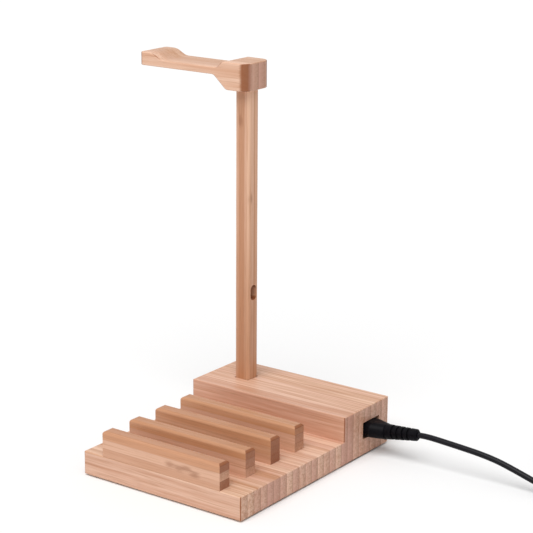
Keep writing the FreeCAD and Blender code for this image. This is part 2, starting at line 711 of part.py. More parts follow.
def charger_case_lower():
    """Lower half of the case, with bosses under the board and a rest under the inlet."""
    floor_z = CASE_Z[0] + CASE_WALL
    half = case_half((CASE_Z[0], INLET_Z), (floor_z, INLET_Z))
    bosses = [upright(x, y, (CASE_Z[0], BOARD_BOTTOM_Z), BOSS_DIAMETER) for x, y in CASE_SCREW_PLACES]
    rest = inlet_rest((CASE_Z[0], INLET_Z - INLET_HEIGHT / 2))
    ways = []
    for x, y in CASE_SCREW_PLACES:
        ways.append(upright(x, y, (CASE_Z[0], BOARD_TOP_Z), CASE_SCREW_DIAMETER + 2 * SCREW_GAP))
        sink_z = (CASE_Z[0], CASE_Z[0] + CASE_SCREW_SINK)
        ways.append(upright(x, y, sink_z, CASE_SCREW_HEAD + 2 * SCREW_GAP))
    return fused(half, rest, *bosses).cut(ways + case_openings())


def charger_case_upper():
    """Upper half of the case, with bosses over the board and a rest over the inlet."""
    half = case_half((INLET_Z, CASE_Z[1]), (INLET_Z, CASE_ROOF_Z))
    bosses = [upright(x, y, (BOARD_TOP_Z, CASE_Z[1]), BOSS_DIAMETER) for x, y in CASE_SCREW_PLACES]
    rest = inlet_rest((INLET_Z + INLET_HEIGHT / 2, CASE_Z[1]))
    tip_z = CASE_Z[0] + CASE_SCREW_SINK + CASE_SCREW_LENGTH + SCREW_END_GAP
    pilots = [
        upright(x, y, (BOARD_BOTTOM_Z, tip_z), CASE_SCREW_DIAMETER + 2 * SCREW_GAP)
        for x, y in CASE_SCREW_PLACES
    ]
    return fused(half, rest, *bosses).cut(pilots + case_openings())


def case_screw(x, y):
    """Pan-head screw that joins the two halves through the board."""
    seat = CASE_Z[0] + CASE_SCREW_SINK
    head = upright(x, y, (seat - CASE_SCREW_HEAD_HEIGHT, seat), CASE_SCREW_HEAD)
    return fused(head, upright(x, y, (seat, seat + CASE_SCREW_LENGTH), CASE_SCREW_DIAMETER))


def charger_board():
    """Circuit board on the lower bosses, with holes for the screws and the inlet pins."""
    board = box(BOARD_X, grown(CASE_Y, -CASE_WALL - BOARD_GAP), (BOARD_BOTTOM_Z, BOARD_TOP_Z))
    z = (BOARD_BOTTOM_Z, BOARD_TOP_Z)
    holes = [upright(x, y, z, CASE_SCREW_DIAMETER + 2 * SCREW_GAP) for x, y in CASE_SCREW_PLACES]
    holes += [upright(PIN_BEND_X, y, z, PIN_DIAMETER + 2 * SCREW_GAP) for y in PIN_PLACES]
    return board.cut(holes)


def usb_port(x):
    """Metal shell of a USB port, open towards the back."""
    y = (CASE_Y[1] - PORT_DEPTH + PORT_WALL, CASE_Y[1])
    z = grown((BOARD_TOP_Z, BOARD_TOP_Z + PORT_HEIGHT), -PORT_WALL)
    return port_body(x, 0).cut(box(span(x, PORT_WIDTH - 2 * PORT_WALL), y, z))


def usb_tongue(x):
    """Plastic tongue of a USB port on the block that closes its inner end."""
    inner_y = CASE_Y[1] - PORT_DEPTH + PORT_WALL
    middle_z = BOARD_TOP_Z + PORT_HEIGHT / 2
    back = box(
        span(x, PORT_WIDTH - 2 * PORT_WALL),
        (inner_y, inner_y + TONGUE_BACK),
        span(middle_z, PORT_HEIGHT - 2 * PORT_WALL),
    )
    blade_y = (inner_y, CASE_Y[1] - TONGUE_SETBACK)
    return fused(back, box(span(x, TONGUE_WIDTH), blade_y, span(middle_z, TONGUE_THICKNESS)))


def mains_inlet():
    """Inlet with a round-ended recess that takes the lead's connector."""
    width = NOSE_WIDTH + 2 * NOSE_GAP
    height = NOSE_HEIGHT + 2 * NOSE_GAP
    recess = oblong((INLET_FLOOR_X, INLET_FACE_X), INLET_Y, INLET_Z, width, height)
    wall = Vector(INLET_BACK_X, 0, INLET_Z)
    holes = [
        rod(wall + Y_AXIS * y, X_AXIS, INLET_BACK_WALL, PIN_DIAMETER + 2 * PIN_GAP) for y in PIN_PLACES
    ]
    return inlet_body(0).cut([recess] + holes)


def inlet_pin(y):
    """Inlet pin, turned down at its inner end into the board."""
    bend = Vector(PIN_BEND_X, y, INLET_Z)
    level = rod(bend, X_AXIS, PIN_TAIL + INLET_BACK_WALL + PIN_LENGTH, PIN_DIAMETER)
    tail = upright(bend.x, y, (BOARD_BOTTOM_Z, INLET_Z), PIN_DIAMETER)
    return fused(level, tail, Part.makeSphere(PIN_DIAMETER / 2, bend))


def core_window(gap):
    """Span in X and in Z of the window in the core, less a gap."""
    x = grown(span(CORE_X, CORE_LENGTH), -CORE_LIMB - gap)
    return x, grown((BOARD_TOP_Z, CORE_TOP_Z), -CORE_YOKE - gap)


def transformer_core():
    """Ferrite core, a frame that stands on the board."""
    y = span(CORE_Y, CORE_DEPTH)
    frame = box(span(CORE_X, CORE_LENGTH), y, (BOARD_TOP_Z, CORE_TOP_Z))
    x, z = core_window(0)
    return frame.cut(box(x, y, z))


def transformer_winding():
    """Winding that fills the core's window and stands out on both sides."""
    x, z = core_window(WINDING_GAP)
    winding = box(x, span(CORE_Y, CORE_DEPTH + 2 * WINDING_OVERHANG), z)
    return rounded(winding, WINDING_ROUND, lambda edge: runs_along(edge, Y_AXIS))


def capacitors():
    """Upright capacitors beside the transformer's left face."""
    face = CORE_X - CORE_LENGTH / 2 - CAPACITOR_GAP
    return [
        upright(face - diameter / 2, CORE_Y + along, (BOARD_TOP_Z, CASE_ROOF_Z - headroom), diameter)
        for diameter, headroom, along in CAPACITORS
    ]


# Connector of the mains lead
def lifted(shape):
    """Shape turned up about the start of the strain relief, as the cord lifts it."""
    return shape.rotated(RELIEF_START, Y_AXIS, -RELIEF_LIFT_DEGREES)


def connector_nose():
    """Hard nose in the inlet, with two bores for the contacts."""
    nose = oblong((NOSE_X, GRIP_X[0]), INLET_Y, INLET_Z, NOSE_WIDTH, NOSE_HEIGHT)
    bore = PIN_DIAMETER + 2 * (CONTACT_GAP + CONTACT_WALL + PIN_GAP)
    start = Vector(NOSE_X, 0, INLET_Z)
    return nose.cut([rod(start + Y_AXIS * y, X_AXIS, CONTACT_LENGTH, bore) for y in PIN_PLACES])


def lead_connector():
    """Moulded grip behind the nose, tapered to a neck that the strain relief carries on."""
    taper_x = GRIP_X[1] - GRIP_TAPER
    neck = oblong_wire(
        GRIP_X[1], INLET_Y, INLET_Z, RELIEF_START_DIAMETER + GRIP_NECK_FLAT, RELIEF_START_DIAMETER
    )
    grip = oblong((GRIP_X[0], taper_x), INLET_Y, INLET_Z, GRIP_WIDTH, GRIP_HEIGHT)
    sections = [oblong_wire(taper_x, INLET_Y, INLET_Z, GRIP_WIDTH, GRIP_HEIGHT), lifted(neck)]
    return fused(grip, Part.makeLoft(sections, True, True))


def connector_contact(y):
    """Contact sleeve in the connector that takes an inlet pin."""
    start = Vector(NOSE_X, y, INLET_Z)
    bore = PIN_DIAMETER + 2 * CONTACT_GAP
    sleeve = rod(start, X_AXIS, CONTACT_LENGTH, bore + 2 * CONTACT_WALL)
    return sleeve.cut(rod(start, X_AXIS, CONTACT_LENGTH, bore))


def connector_relief():
    """Tapered strain relief with grooves between its ribs."""
    ribbed = RELIEF_LENGTH - 2 * RELIEF_PLAIN
    pitch = ribbed / RELIEF_GROOVES

    def radius(distance):
        share = distance / RELIEF_LENGTH
        return (RELIEF_START_DIAMETER * (1 - share) + RELIEF_END_DIAMETER * share) / 2

    profile = [(0, 0), (0, radius(0))]
    for groove in range(RELIEF_GROOVES):
        start = RELIEF_PLAIN + pitch * groove + (pitch - RELIEF_GROOVE_WIDTH) / 2
        end = start + RELIEF_GROOVE_WIDTH
        floor = radius(start) - RELIEF_GROOVE_DEPTH
        profile += [(start, radius(start)), (start, floor), (end, floor), (end, radius(end))]
    bevel = (RELIEF_END_DIAMETER - CORD_DIAMETER) / 4
    profile.append((RELIEF_LENGTH - bevel, radius(RELIEF_LENGTH - bevel)))
    profile += [(RELIEF_LENGTH, radius(RELIEF_LENGTH) - bevel), (RELIEF_LENGTH, 0)]
    return lifted(revolved_along_x(profile, RELIEF_START))


# Mains cord
def tube_on(path, start, heading, name):
    """Round tube along a wire, with its volume set against section times length."""
    section = Part.Wire(Part.makeCircle(CORD_DIAMETER / 2, start, heading))
    tube = path.makePipeShell([section], True, False)
    expected = math.pi * CORD_DIAMETER ** 2 / 4 * path.Length
    print(f"{name}: length {path.Length:.1f} mm")
    print(f"{name}: volume {tube.Volume:.1f}, section times length {expected:.1f}")
    return tube


def lead_cord():
    """Free stretch of the cord: straight runs joined by the largest tangent arcs that fit."""
    points = [EXIT, EXIT + RELIEF_HEADING * CORD_FIRST_RUN]
    points += [EXIT + Vector(*offset) for offset in CORD_ROUTE]
    runs = [end - start for start, end in zip(points, points[1:])]
    edges = []
    last = points[0]
    radii = []
    for corner, before, after in zip(points[1:], runs, runs[1:]):
        turn = before.getAngle(after)
        cut_back = CORD_ARC_SHARE * min(before.Length, after.Length)
        radii.append(cut_back / math.tan(turn / 2))
        arc_start = corner - before * (cut_back / before.Length)
        arc_end = corner + after * (cut_back / after.Length)
        edges.append(Part.LineSegment(last, arc_start).toShape())
        edges.append(tangent_arc(arc_start, before * (1 / before.Length), arc_end))
        last = arc_end
    edges.append(Part.LineSegment(last, points[-1]).toShape())
    print("lead_cord: radii", [round(radius) for radius in radii])
    return tube_on(Part.Wire(edges), points[0], RELIEF_HEADING, "lead_cord")


def coil_centre():
    """Centre of the coil at the level of its lower layer."""
    start = EXIT + Vector(*CORD_ROUTE[-1]) + X_AXIS * CORD_DIAMETER
    return start - radial(-COIL_HALF_TURNS) * coil_radius(-COIL_HALF_TURNS)


def coil_radius(turn):
    """Radius of the cord's middle, by turns from the middle of the coil's length."""
    return COIL_INNER_RADIUS + COIL_PITCH * math.hypot(turn, COIL_TURN_SOFTENING)


def coil_angle(turn):
    """Angle about the coil's centre, by turns from the middle of the coil's length."""
    return math.radians(COIL_START_DEGREES) + 2 * math.pi * (turn + COIL_HALF_TURNS)


def radial(turn):
    """Outward unit direction at a turn."""
    return Vector(math.cos(coil_angle(turn)), math.sin(coil_angle(turn)), 0)


def coil_point(turn):
    """Middle of the cord at a turn, lower layer first."""
    climb = min(max(turn / COIL_CLIMB_TURNS + 0.5, 0), 1)
    rise = COIL_LAYER_RISE * (1 - math.cos(math.pi * climb)) / 2
    return coil_centre() + radial(turn) * coil_radius(turn) + Z_AXIS * rise


def coil_heading(turn):
    """Unit direction of travel at a turn, level at both ends of the coil."""
    if abs(turn) == COIL_HALF_TURNS:
        return Z_AXIS.cross(radial(turn))
    heading = coil_point(turn + HEADING_STEP) - coil_point(turn - HEADING_STEP)
    return heading * (1 / heading.Length)


def biarc(start, start_heading, end, end_heading):
    """Two arcs that join two points with given unit headings."""
    chord = end - start
    along = chord.dot(start_heading + end_heading)
    bend = 2 * (1 - start_heading.dot(end_heading))
    reach = (math.sqrt(along ** 2 + bend * chord.dot(chord)) - along) / bend
    joint = (start + start_heading * reach + end - end_heading * reach) * 0.5
    return [tangent_arc(start, start_heading, joint), tangent_arc(end, -end_heading, joint)]


def coil_turns():
    """Turns at which the coil's arcs meet: its ends and every quarter turn between."""
    whole = math.floor(COIL_HALF_TURNS * COIL_STEPS_PER_TURN)
    inner = [step / COIL_STEPS_PER_TURN for step in range(-whole, whole + 1)]
    return [-COIL_HALF_TURNS] + inner + [COIL_HALF_TURNS]


def coil_samples():
    """Points along the coil, close together."""
    count = round(2 * COIL_HALF_TURNS * COIL_SAMPLES_PER_TURN)
    return [coil_point(step / COIL_SAMPLES_PER_TURN - COIL_HALF_TURNS) for step in range(count + 1)]


def coil_gap():
    """Least gap between the coil's turns, measured on points along it."""
    points = coil_samples()
    apart = COIL_SAMPLES_PER_TURN // 2
    return min(
        first.distanceToPoint(second)
        for place, first in enumerate(points)
        for second in points[place + apart:]
    ) - CORD_DIAMETER


def lead_coil():
    """Put-away length of the cord, one unbroken tube in two layers of loops."""
    turns = coil_turns()
    first, last = coil_point(turns[0]), coil_point(turns[-1])
    first_heading, last_heading = coil_heading(turns[0]), coil_heading(turns[-1])
    start = first - first_heading * CORD_DIAMETER
    edges = [Part.LineSegment(start, first).toShape()]
    for before, after in zip(turns, turns[1:]):
        edges += biarc(coil_point(before), coil_heading(before), coil_point(after), coil_heading(after))
    edges.append(Part.LineSegment(last, last + last_heading * CORD_DIAMETER).toShape())
    print(f"lead_coil: {2 * COIL_HALF_TURNS:.2f} turns, least gap to itself {coil_gap():.2f} mm")
    return tube_on(Part.Wire(edges), start, first_heading, "lead_coil")


def coil_tie():
    """Strap round all the turns on the coil's right side."""
    centre = coil_centre()
    crossings = [
        point.x
        for point in coil_samples()
        if point.x > centre.x and abs(point.y - centre.y) < TIE_WIDTH
    ]
    margin = CORD_DIAMETER / 2 + TIE_GAP
    x = grown((min(crossings), max(crossings)), margin)
    z = grown((centre.z, centre.z + COIL_LAYER_RISE), margin)
    y = span(centre.y, TIE_WIDTH)
    outer = box(grown(x, TIE_THICKNESS), y, grown(z, TIE_THICKNESS))
    outer = rounded(outer, TIE_ROUND, lambda edge: runs_along(edge, Y_AXIS))
    inner = rounded(box(x, y, z), TIE_ROUND - TIE_THICKNESS, lambda edge: runs_along(edge, Y_AXIS))
    return outer.cut(inner)


# Mains plug, built along +X from the origin and then laid at the coil's end
def laid_at_coil_end(shape):
    """Shape moved from the origin to the end of the coil, heading on as the cord does."""
    heading = coil_heading(COIL_HALF_TURNS)
    turn = FreeCAD.Rotation(X_AXIS, heading)
    shape.Placement = FreeCAD.Placement(coil_point(COIL_HALF_TURNS) + heading * CORD_DIAMETER, turn)
    return shape


def plug_relief():
    """Tapered strain relief between the cord and the plug."""
    start, end = PLUG_RELIEF_START / 2, PLUG_RELIEF_END / 2
    return laid_at_coil_end(Part.makeCone(start, end, PLUG_RELIEF_LENGTH, Vector(), X_AXIS))


def lies_across(edge, x):
    """Whether all of an edge lies in the plane across X at a place."""
    return near(edge.BoundBox.XMin, x) and near(edge.BoundBox.XMax, x)


def mains_plug():
    """Flat two-pin plug body that widens from its neck to its face."""
    start, end = PLUG_RELIEF_LENGTH, PLUG_RELIEF_LENGTH + PLUG_LENGTH
    half_neck, half_width = PLUG_NECK_WIDTH / 2, PLUG_WIDTH / 2
    outline = [
        (start, -half_neck),
        (start + PLUG_SHOULDER, -half_width),
        (end, -half_width),
        (end, half_width),
        (start + PLUG_SHOULDER, half_width),
        (start, half_neck),
    ]
    points = [Vector(x, y, -PLUG_THICKNESS / 2) for x, y in outline]
    body = Part.Face(Part.makePolygon(points + points[:1])).extrude(Z_AXIS * PLUG_THICKNESS)
    body = rounded(body, PLUG_ROUND, lambda edge: not (lies_across(edge, start) or lies_across(edge, end)))
    seats = [
        rod(Vector(end - PLUG_PIN_DEPTH, y, 0), X_AXIS, PLUG_PIN_DEPTH, PLUG_PIN_DIAMETER + 2 * PIN_GAP)
        for y in span(0, PLUG_PIN_SPACING)
    ]
    return laid_at_coil_end(body.cut(seats))


def plug_pin(y):
    """Plug pin with a domed tip, moulded into the plug's face."""
    start = Vector(PLUG_RELIEF_LENGTH + PLUG_LENGTH - PLUG_PIN_DEPTH, y, 0)
    straight = PLUG_PIN_DEPTH + PLUG_PIN_LENGTH - PLUG_PIN_DIAMETER / 2
    shaft = rod(start, X_AXIS, straight, PLUG_PIN_DIAMETER)
    tip = Part.makeSphere(PLUG_PIN_DIAMETER / 2, start + X_AXIS * straight)
    return laid_at_coil_end(fused(shaft, tip))


def pieces():
    """Every piece of the object by its node's name."""
    made = {"base_board": base_board(), "rear_block": rear_block()}
    for number, name in enumerate(RAIL_NAMES):
        made[name] = rail(number)
    made["rail_dowels"] = [dowel(x, y, TRAY_Z) for x, y in rail_dowel_places()]
    made["block_dowels"] = [dowel(x, y, TRAY_Z) for x, y in BLOCK_DOWEL_PLACES]
    made["post"] = post()
    made["hanger_arm"] = hanger_arm()
    made["arm_dowel"] = dowel(POST_X, POST_Y, POST_TOP_Z)
    made["post_insert"] = post_insert()
    made["post_washer"] = post_washer()
    made["post_bolt"] = post_bolt()
    made["bottom_cover"] = bottom_cover()
    made["cover_screws"] = [cover_screw(x, y, 0) for x, y in COVER_SCREW_PLACES]
    made["front_pad"] = front_pad()
    made["side_pads"] = side_pads()
    made["charger_case_lower"] = charger_case_lower()
    made["charger_case_upper"] = charger_case_upper()
    made["case_screws"] = [case_screw(x, y) for x, y in CASE_SCREW_PLACES]
    made["charger_board"] = charger_board()
    for name, x in zip(PORT_NAMES, PORT_PLACES):
        made[name] = usb_port(x)
    made["usb_tongues"] = [usb_tongue(x) for x in PORT_PLACES]
    made["mains_inlet"] = mains_inlet()
    made["inlet_pins"] = [inlet_pin(y) for y in PIN_PLACES]
    made["transformer_core"] = transformer_core()
    made["transformer_winding"] = transformer_winding()
    made["capacitors"] = capacitors()
    made["connector_nose"] = connector_nose()
    made["lead_connector"] = lead_connector()
    made["connector_contacts"] = [connector_contact(y) for y in PIN_PLACES]
    made["connector_relief"] = connector_relief()
    made["lead_cord"] = lead_cord()
    made["lead_coil"] = lead_coil()
    made["coil_tie"] = coil_tie()
    made["plug_relief"] = plug_relief()
    made["mains_plug"] = mains_plug()
    made["plug_pins"] = [plug_pin(y) for y in span(0, PLUG_PIN_SPACING)]
    return made


def export(name, made):
    """Write one node's STEP file, after a test that its solids are sound."""
    solids = made if isinstance(made, list) else [made]
    for solid in solids:
        if not solid.isValid() or len(solid.Solids) != 1 or solid.Volume <= 0:
            raise ValueError(f"{name} is not one sound solid")
    shape = solids[0] if len(solids) == 1 else Part.makeCompound(solids)
    shape.exportStep(f"parts/{name}.step")


os.makedirs("parts", exist_ok=True)
for node_name, node_shape in pieces().items():
    export(node_name, node_shape)
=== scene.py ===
"""Charging station organizer: finishes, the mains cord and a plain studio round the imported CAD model.

Lengths are metres in the CAD model's own frame, except where a name ends in _mm. The solids keep
their shapes. This script gives each of them its material, draws the cord as one smooth curve, adds
the small metal contacts of the ports, and lights the object on a plain white table.
"""

import logging
import math
from dataclasses import dataclass, field
from enum import Enum
from typing import Any

import bmesh
import bpy
from mathutils import Euler, Matrix, Vector

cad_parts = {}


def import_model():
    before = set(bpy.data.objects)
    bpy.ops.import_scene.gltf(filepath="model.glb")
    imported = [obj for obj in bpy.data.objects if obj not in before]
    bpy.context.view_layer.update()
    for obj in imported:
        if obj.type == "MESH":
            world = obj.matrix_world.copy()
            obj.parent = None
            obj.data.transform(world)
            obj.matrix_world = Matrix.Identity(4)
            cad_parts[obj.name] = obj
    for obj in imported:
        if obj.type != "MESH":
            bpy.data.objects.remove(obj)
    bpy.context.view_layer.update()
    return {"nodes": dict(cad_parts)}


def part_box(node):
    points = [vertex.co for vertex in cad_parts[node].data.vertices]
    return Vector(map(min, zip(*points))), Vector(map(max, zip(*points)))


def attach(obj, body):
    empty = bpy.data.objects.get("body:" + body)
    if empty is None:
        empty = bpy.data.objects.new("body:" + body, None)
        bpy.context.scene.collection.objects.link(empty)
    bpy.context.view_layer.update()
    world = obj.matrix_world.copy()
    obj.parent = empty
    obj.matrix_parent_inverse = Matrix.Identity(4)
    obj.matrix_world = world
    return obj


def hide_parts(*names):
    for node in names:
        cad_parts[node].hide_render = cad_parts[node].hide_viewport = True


LOG = logging.getLogger("charging_station")
MILLIMETRE = 0.001

Nodes = dict[str, bpy.types.Object]
Inputs = dict[Any, Any]


class Axis(Enum):
    """An axis of the part's frame, by its place in a vector."""

    X = 0
    Y = 1
    Z = 2


class Body(Enum):
    """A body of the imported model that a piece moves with."""

    STATION = "station"
    LEAD = "mains_lead"


def linear_colour(code: str) -> tuple[float, float, float, float]:
    """Turn an sRGB hex value into a linear colour.

    Args:
        code: The colour as #RRGGBB.

    Returns:
        Red, green, blue and a full alpha.
    """
    channels = [int(code[place:place + 2], 16) / 255 for place in (1, 3, 5)]
    linear = [
        value / 12.92 if value <= 0.04045 else ((value + 0.055) / 1.055) ** 2.4
        for value in channels
    ]
    return (linear[0], linear[1], linear[2], 1.0)


def add_node(
    tree: bpy.types.NodeTree,
    kind: str,
    inputs: Inputs | None = None,
    output: Any = 0,
    **settings: Any,
) -> bpy.types.NodeSocket | None:
    """Add a shader node with its settings, values and links.

    Args:
        tree: The node tree that takes the node.
        kind: What follows ShaderNode in the node's type name.
        inputs: For each socket, by name or place, a value or the output that is linked to it.
        output: Name or place of the output that is wanted.
        **settings: Properties of the node itself.

    Returns:
        The wanted output, or None for a node that has no outputs.
    """
    node = tree.nodes.new("ShaderNode" + kind)
    for name, value in settings.items():
        setattr(node, name, value)
    for key, value in (inputs or {}).items():
        if isinstance(value, bpy.types.NodeSocket):
            tree.links.new(value, node.inputs[key])
        else:
            node.inputs[key].default_value = value
    return node.outputs[output] if len(node.outputs) else None


def empty_material(name: str) -> bpy.types.Material:
    """Make a material with an empty node tree.

    Args:
        name: Name of the material.

    Returns:
        The material.
    """
    material = bpy.data.materials.new(name)
    material.use_nodes = True
    material.node_tree.nodes.clear()
    return material


def dress(piece: bpy.types.Object, material: bpy.types.Material) -> None:
    """Give a piece one material on all of its faces.

    Args:
        piece: The piece to dress.
        material: Its material.
    """
    if not piece.material_slots:
        piece.data.materials.append(material)
    for slot in piece.material_slots:
        slot.material = material
    LOG.info("%s: %s", piece.name, material.name)


def new_piece(name: str, shape: bmesh.types.BMesh, body: Body) -> bpy.types.Object:
    """Make a piece of a finished bmesh, and let it move with a body.

    Args:
        name: Name of the piece.
        shape: The finished shape, which is freed.
        body: The body that carries the piece.

    Returns:
        The piece.
    """
    bmesh.ops.recalc_face_normals(shape, faces=shape.faces[:])
    mesh = bpy.data.meshes.new(name)
    shape.to_mesh(mesh)
    shape.free()
    piece = bpy.data.objects.new(name, mesh)
    bpy.context.scene.collection.objects.link(piece)
    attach(piece, body.value)
    return piece


@dataclass(frozen=True)
class Bamboo:
    """Steamed bamboo strips, glued side by side, sanded and given a satin lacquer.

    Each strip has its own tone. Its fibre bundles run along the grain, as long dashes on the faces
    and as dots on the ends. A thin dark glue line parts it from the next strip.

    Attributes:
        name: Name of the material.
        grain: Axis that the fibres run along.
        stack: Axis along which the strips lie side by side.
        strip_mm: Width of a strip.
        edge_mm: Place of one strip's edge along the stack.
        seed: Number that picks the strips' tones.
        pale: Colour of the light strips.
        deep: Colour of the dark strips.
        blush: Pinker colour that some strips lean to.
        end_tone: Colour that the end grain leans to.
        dark: Colour of a stretch that is darker than the rest: a darker strip's own tone on the rails,
            painted shade on the arm and the post.
        dark_mm: Where that stretch lies along the stack.
        painted_shade_aside_mm: Where such a stretch lies square to the stack, as painted shade down the
            middle of the post's front and back.
        fade_mm: Places along the grain from which and by which the colour runs into the dark one.
        marks_mm: Middles of brown growth marks.
    """

    name: str
    grain: Axis
    stack: Axis
    strip_mm: float
    edge_mm: float
    seed: float
    pale: str = "#E6C0A5"
    deep: str = "#B37A52"
    blush: str = "#DFB2A0"
    end_tone: str = "#C99A8B"
    dark: str = "#B87E55"
    dark_mm: tuple[float, float] | None = None
    painted_shade_aside_mm: tuple[float, float] | None = None
    fade_mm: tuple[float, float] | None = None
    marks_mm: tuple[tuple[float, float, float], ...] = ()

    FIBRE = "#A87550"
    BUNDLE = "#8A5A3C"
    GLUE = "#8A5236"
    MARK = "#8A5736"
    OBLIQUE = "#884A20"

    # Length and width of one speck. Real fibres are about 0.3 mm wide and glue lines 0.1 mm, too fine
    # to show here, so fibres, bundles and glue lines are drawn two to four times as wide.
    STREAK_MM = (90.0, 2.2)
    FIBRE_MM = (40.0, 0.8)
    BUNDLE_MM = (16.0, 0.95)
    GLUE_MM = 0.45
    MARK_MM = (5.2, 2.5)
    # Most that one strip's cane is shifted along the grain.
    SLIP_MM = 900.0

    # Depth and strength of the fibres' relief, and roughness between the fibres and on them.
    RELIEF_MM = 0.06
    BUMP_STRENGTH = 0.35
    ROUGHNESS = (0.40, 0.56)
    GLOSS_LIMITS = (0.3, 0.7)

    # Values at which a mask is 0 and 1: of a texture, of how squarely a face looks along an axis, and
    # of the distance from a mark's middle.
    FIBRE_LIMITS = (0.50, 0.72)
    BUNDLE_LIMITS = (0.42, 0.16)
    END_LIMITS = (0.86, 0.99)
    SLANT_LIMITS = (0.1, 0.5)
    ROUNDING_LIMITS = (0.05, 0.3)
    MARK_LIMITS = (2.2, 1.2)

    # Share of a colour where its mask is 1, and least part of it that stays on the long faces.
    DARK_SHARE = 0.55
    FADE_SHARE = 0.5
    BLUSH_SHARE = 0.5
    FIBRE_SHARE = 0.45
    MARK_SHARE = 0.55
    OBLIQUE_SHARE = 0.92
    EDGE_SHARE, EDGE_LEAST = 0.36, 0.25
    BUNDLE_SHARE, BUNDLE_LEAST = 0.75, 0.2
    GLUE_SHARE, GLUE_LEAST = 0.6, 0.2

    # How much a strip's own tone and its streaks tell, how much of the end tone it drinks, and how far
    # the fibres fray a mark.
    TONE_GAIN = 0.8
    STREAK_GAIN = 2.6
    TONE_START = -1.2
    MOST_DRINK = 0.7
    FRAY = 2.2

    def material(self) -> bpy.types.Material:
        """Build the bamboo's material.

        Returns:
            The material, with its pattern on Object coordinates in millimetres.
        """
        made = empty_material(self.name)
        tree = made.node_tree
        place = add_node(tree, "TexCoord", output="Object")
        place = add_node(tree, "VectorMath", {0: place, "Scale": 1 / MILLIMETRE}, operation="SCALE")
        axes = add_node(tree, "SeparateXYZ", {0: place}).node.outputs
        third = ({Axis.X, Axis.Y, Axis.Z} - {self.grain, self.stack}).pop()
        along, across, aside = axes[self.grain.value], axes[self.stack.value], axes[third.value]

        row = add_node(
            tree, "Math", {0: across, 1: 1 / self.strip_mm, 2: -self.edge_mm / self.strip_mm},
            operation="MULTIPLY_ADD",
        )
        strip = add_node(tree, "Math", {0: row}, operation="FLOOR")
        strip = add_node(tree, "Math", {0: strip, 1: self.seed}, operation="ADD")
        draw = add_node(tree, "TexWhiteNoise", {"W": strip}, output="Color", noise_dimensions="1D")
        tones = add_node(tree, "SeparateColor", {0: draw}).node.outputs
        slip = add_node(
            tree, "Math", {0: tones[0], 1: self.SLIP_MM, 2: along}, operation="MULTIPLY_ADD"
        )
        cane = add_node(tree, "CombineXYZ", {0: slip, 1: across, 2: aside})

        streaks = self.stretched(tree, cane, self.STREAK_MM, "TexNoise", {"Detail": 3.0})
        fibres = self.stretched(tree, cane, self.FIBRE_MM, "TexNoise", {"Detail": 2.0})
        bundles = self.stretched(tree, cane, self.BUNDLE_MM, "TexVoronoi", {})
        lines = self.soft_mask(tree, fibres, self.FIBRE_LIMITS)
        dots = self.soft_mask(tree, bundles, self.BUNDLE_LIMITS)
        normal = add_node(tree, "TexCoord", output="Normal")
        normal = add_node(tree, "VectorMath", {0: normal}, operation="ABSOLUTE")
        facing = add_node(tree, "SeparateXYZ", {0: normal}).node.outputs
        end = self.soft_mask(tree, facing[self.grain.value], self.END_LIMITS)

        colour = self.strip_colour(tree, tones, streaks)
        # Darker stretches: a darker strip's own tone on the rails, painted shade on the arm and down the
        # post's faces.
        for axis, limits in ((across, self.dark_mm), (aside, self.painted_shade_aside_mm)):
            if limits:
                stretch = self.inside(tree, axis, limits)
                colour = self.blend(tree, colour, self.dark, stretch, self.DARK_SHARE)
        if self.fade_mm:
            fade = self.soft_mask(tree, along, self.fade_mm)
            colour = self.blend(tree, colour, self.dark, fade, self.FADE_SHARE)
        colour = self.blend(tree, colour, self.FIBRE, lines, self.FIBRE_SHARE)
        for middle in self.marks_mm:
            colour = self.marked(tree, colour, place, middle, fibres)
        colour = self.with_end_grain(tree, colour, facing, end, tones)
        within = add_node(tree, "Math", {0: row}, operation="FRACT")
        edge = self.on_ends(tree, within, end, self.EDGE_LEAST)
        colour = self.blend(tree, colour, self.BUNDLE, edge, self.EDGE_SHARE)
        dense = add_node(tree, "Math", {0: within, 1: dots}, operation="MULTIPLY")
        specks = self.on_ends(tree, dense, end, self.BUNDLE_LEAST)
        colour = self.blend(tree, colour, self.BUNDLE, specks, self.BUNDLE_SHARE)
        beside = add_node(tree, "Math", {0: row, 1: 0.5}, operation="PINGPONG")
        seam = self.soft_mask(tree, beside, (self.GLUE_MM / self.strip_mm, 0.0))
        seam = self.on_ends(tree, seam, end, self.GLUE_LEAST)
        colour = self.blend(tree, colour, self.GLUE, seam, self.GLUE_SHARE)

        height = add_node(tree, "Math", {0: lines, 1: dense}, operation="ADD")
        bump = add_node(
            tree, "Bump",
            {
                "Height": height, "Strength": self.BUMP_STRENGTH,
                "Distance": self.RELIEF_MM * MILLIMETRE,
            },
            invert=True,
        )
        low, high = self.GLOSS_LIMITS
        smooth, rough = self.ROUGHNESS
        gloss = add_node(tree, "MapRange", {0: fibres, 1: low, 2: high, 3: smooth, 4: rough})
        surface = add_node(
            tree, "BsdfPrincipled",
            {
                "Base Color": colour, "Roughness": gloss, "Normal": bump, "IOR": 1.48,
                "Specular IOR Level": 0.4, "Coat Weight": 0.08, "Coat Roughness": 0.35,
            },
        )
        add_node(tree, "OutputMaterial", {"Surface": surface})
        return made

    def stretched(
        self,
        tree: bpy.types.NodeTree,
        cane: bpy.types.NodeSocket,
        size_mm: tuple[float, float],
        kind: str,
        values: Inputs,
    ) -> bpy.types.NodeSocket:
        """Add a texture that is drawn out along the grain.

        Args:
            tree: The material's tree.
            cane: Place along, across and beside the grain in millimetres.
            size_mm: Length and width of one speck.
            kind: Type of the texture node.
            values: The texture's own values.

        Returns:
            The texture's first output.
        """
        length, width = size_mm
        scale = (1 / length, 1 / width, 1 / width)
        vector = add_node(tree, "VectorMath", {0: cane, 1: scale}, operation="MULTIPLY")
        return add_node(tree, kind, {"Vector": vector, "Scale": 1.0, **values})

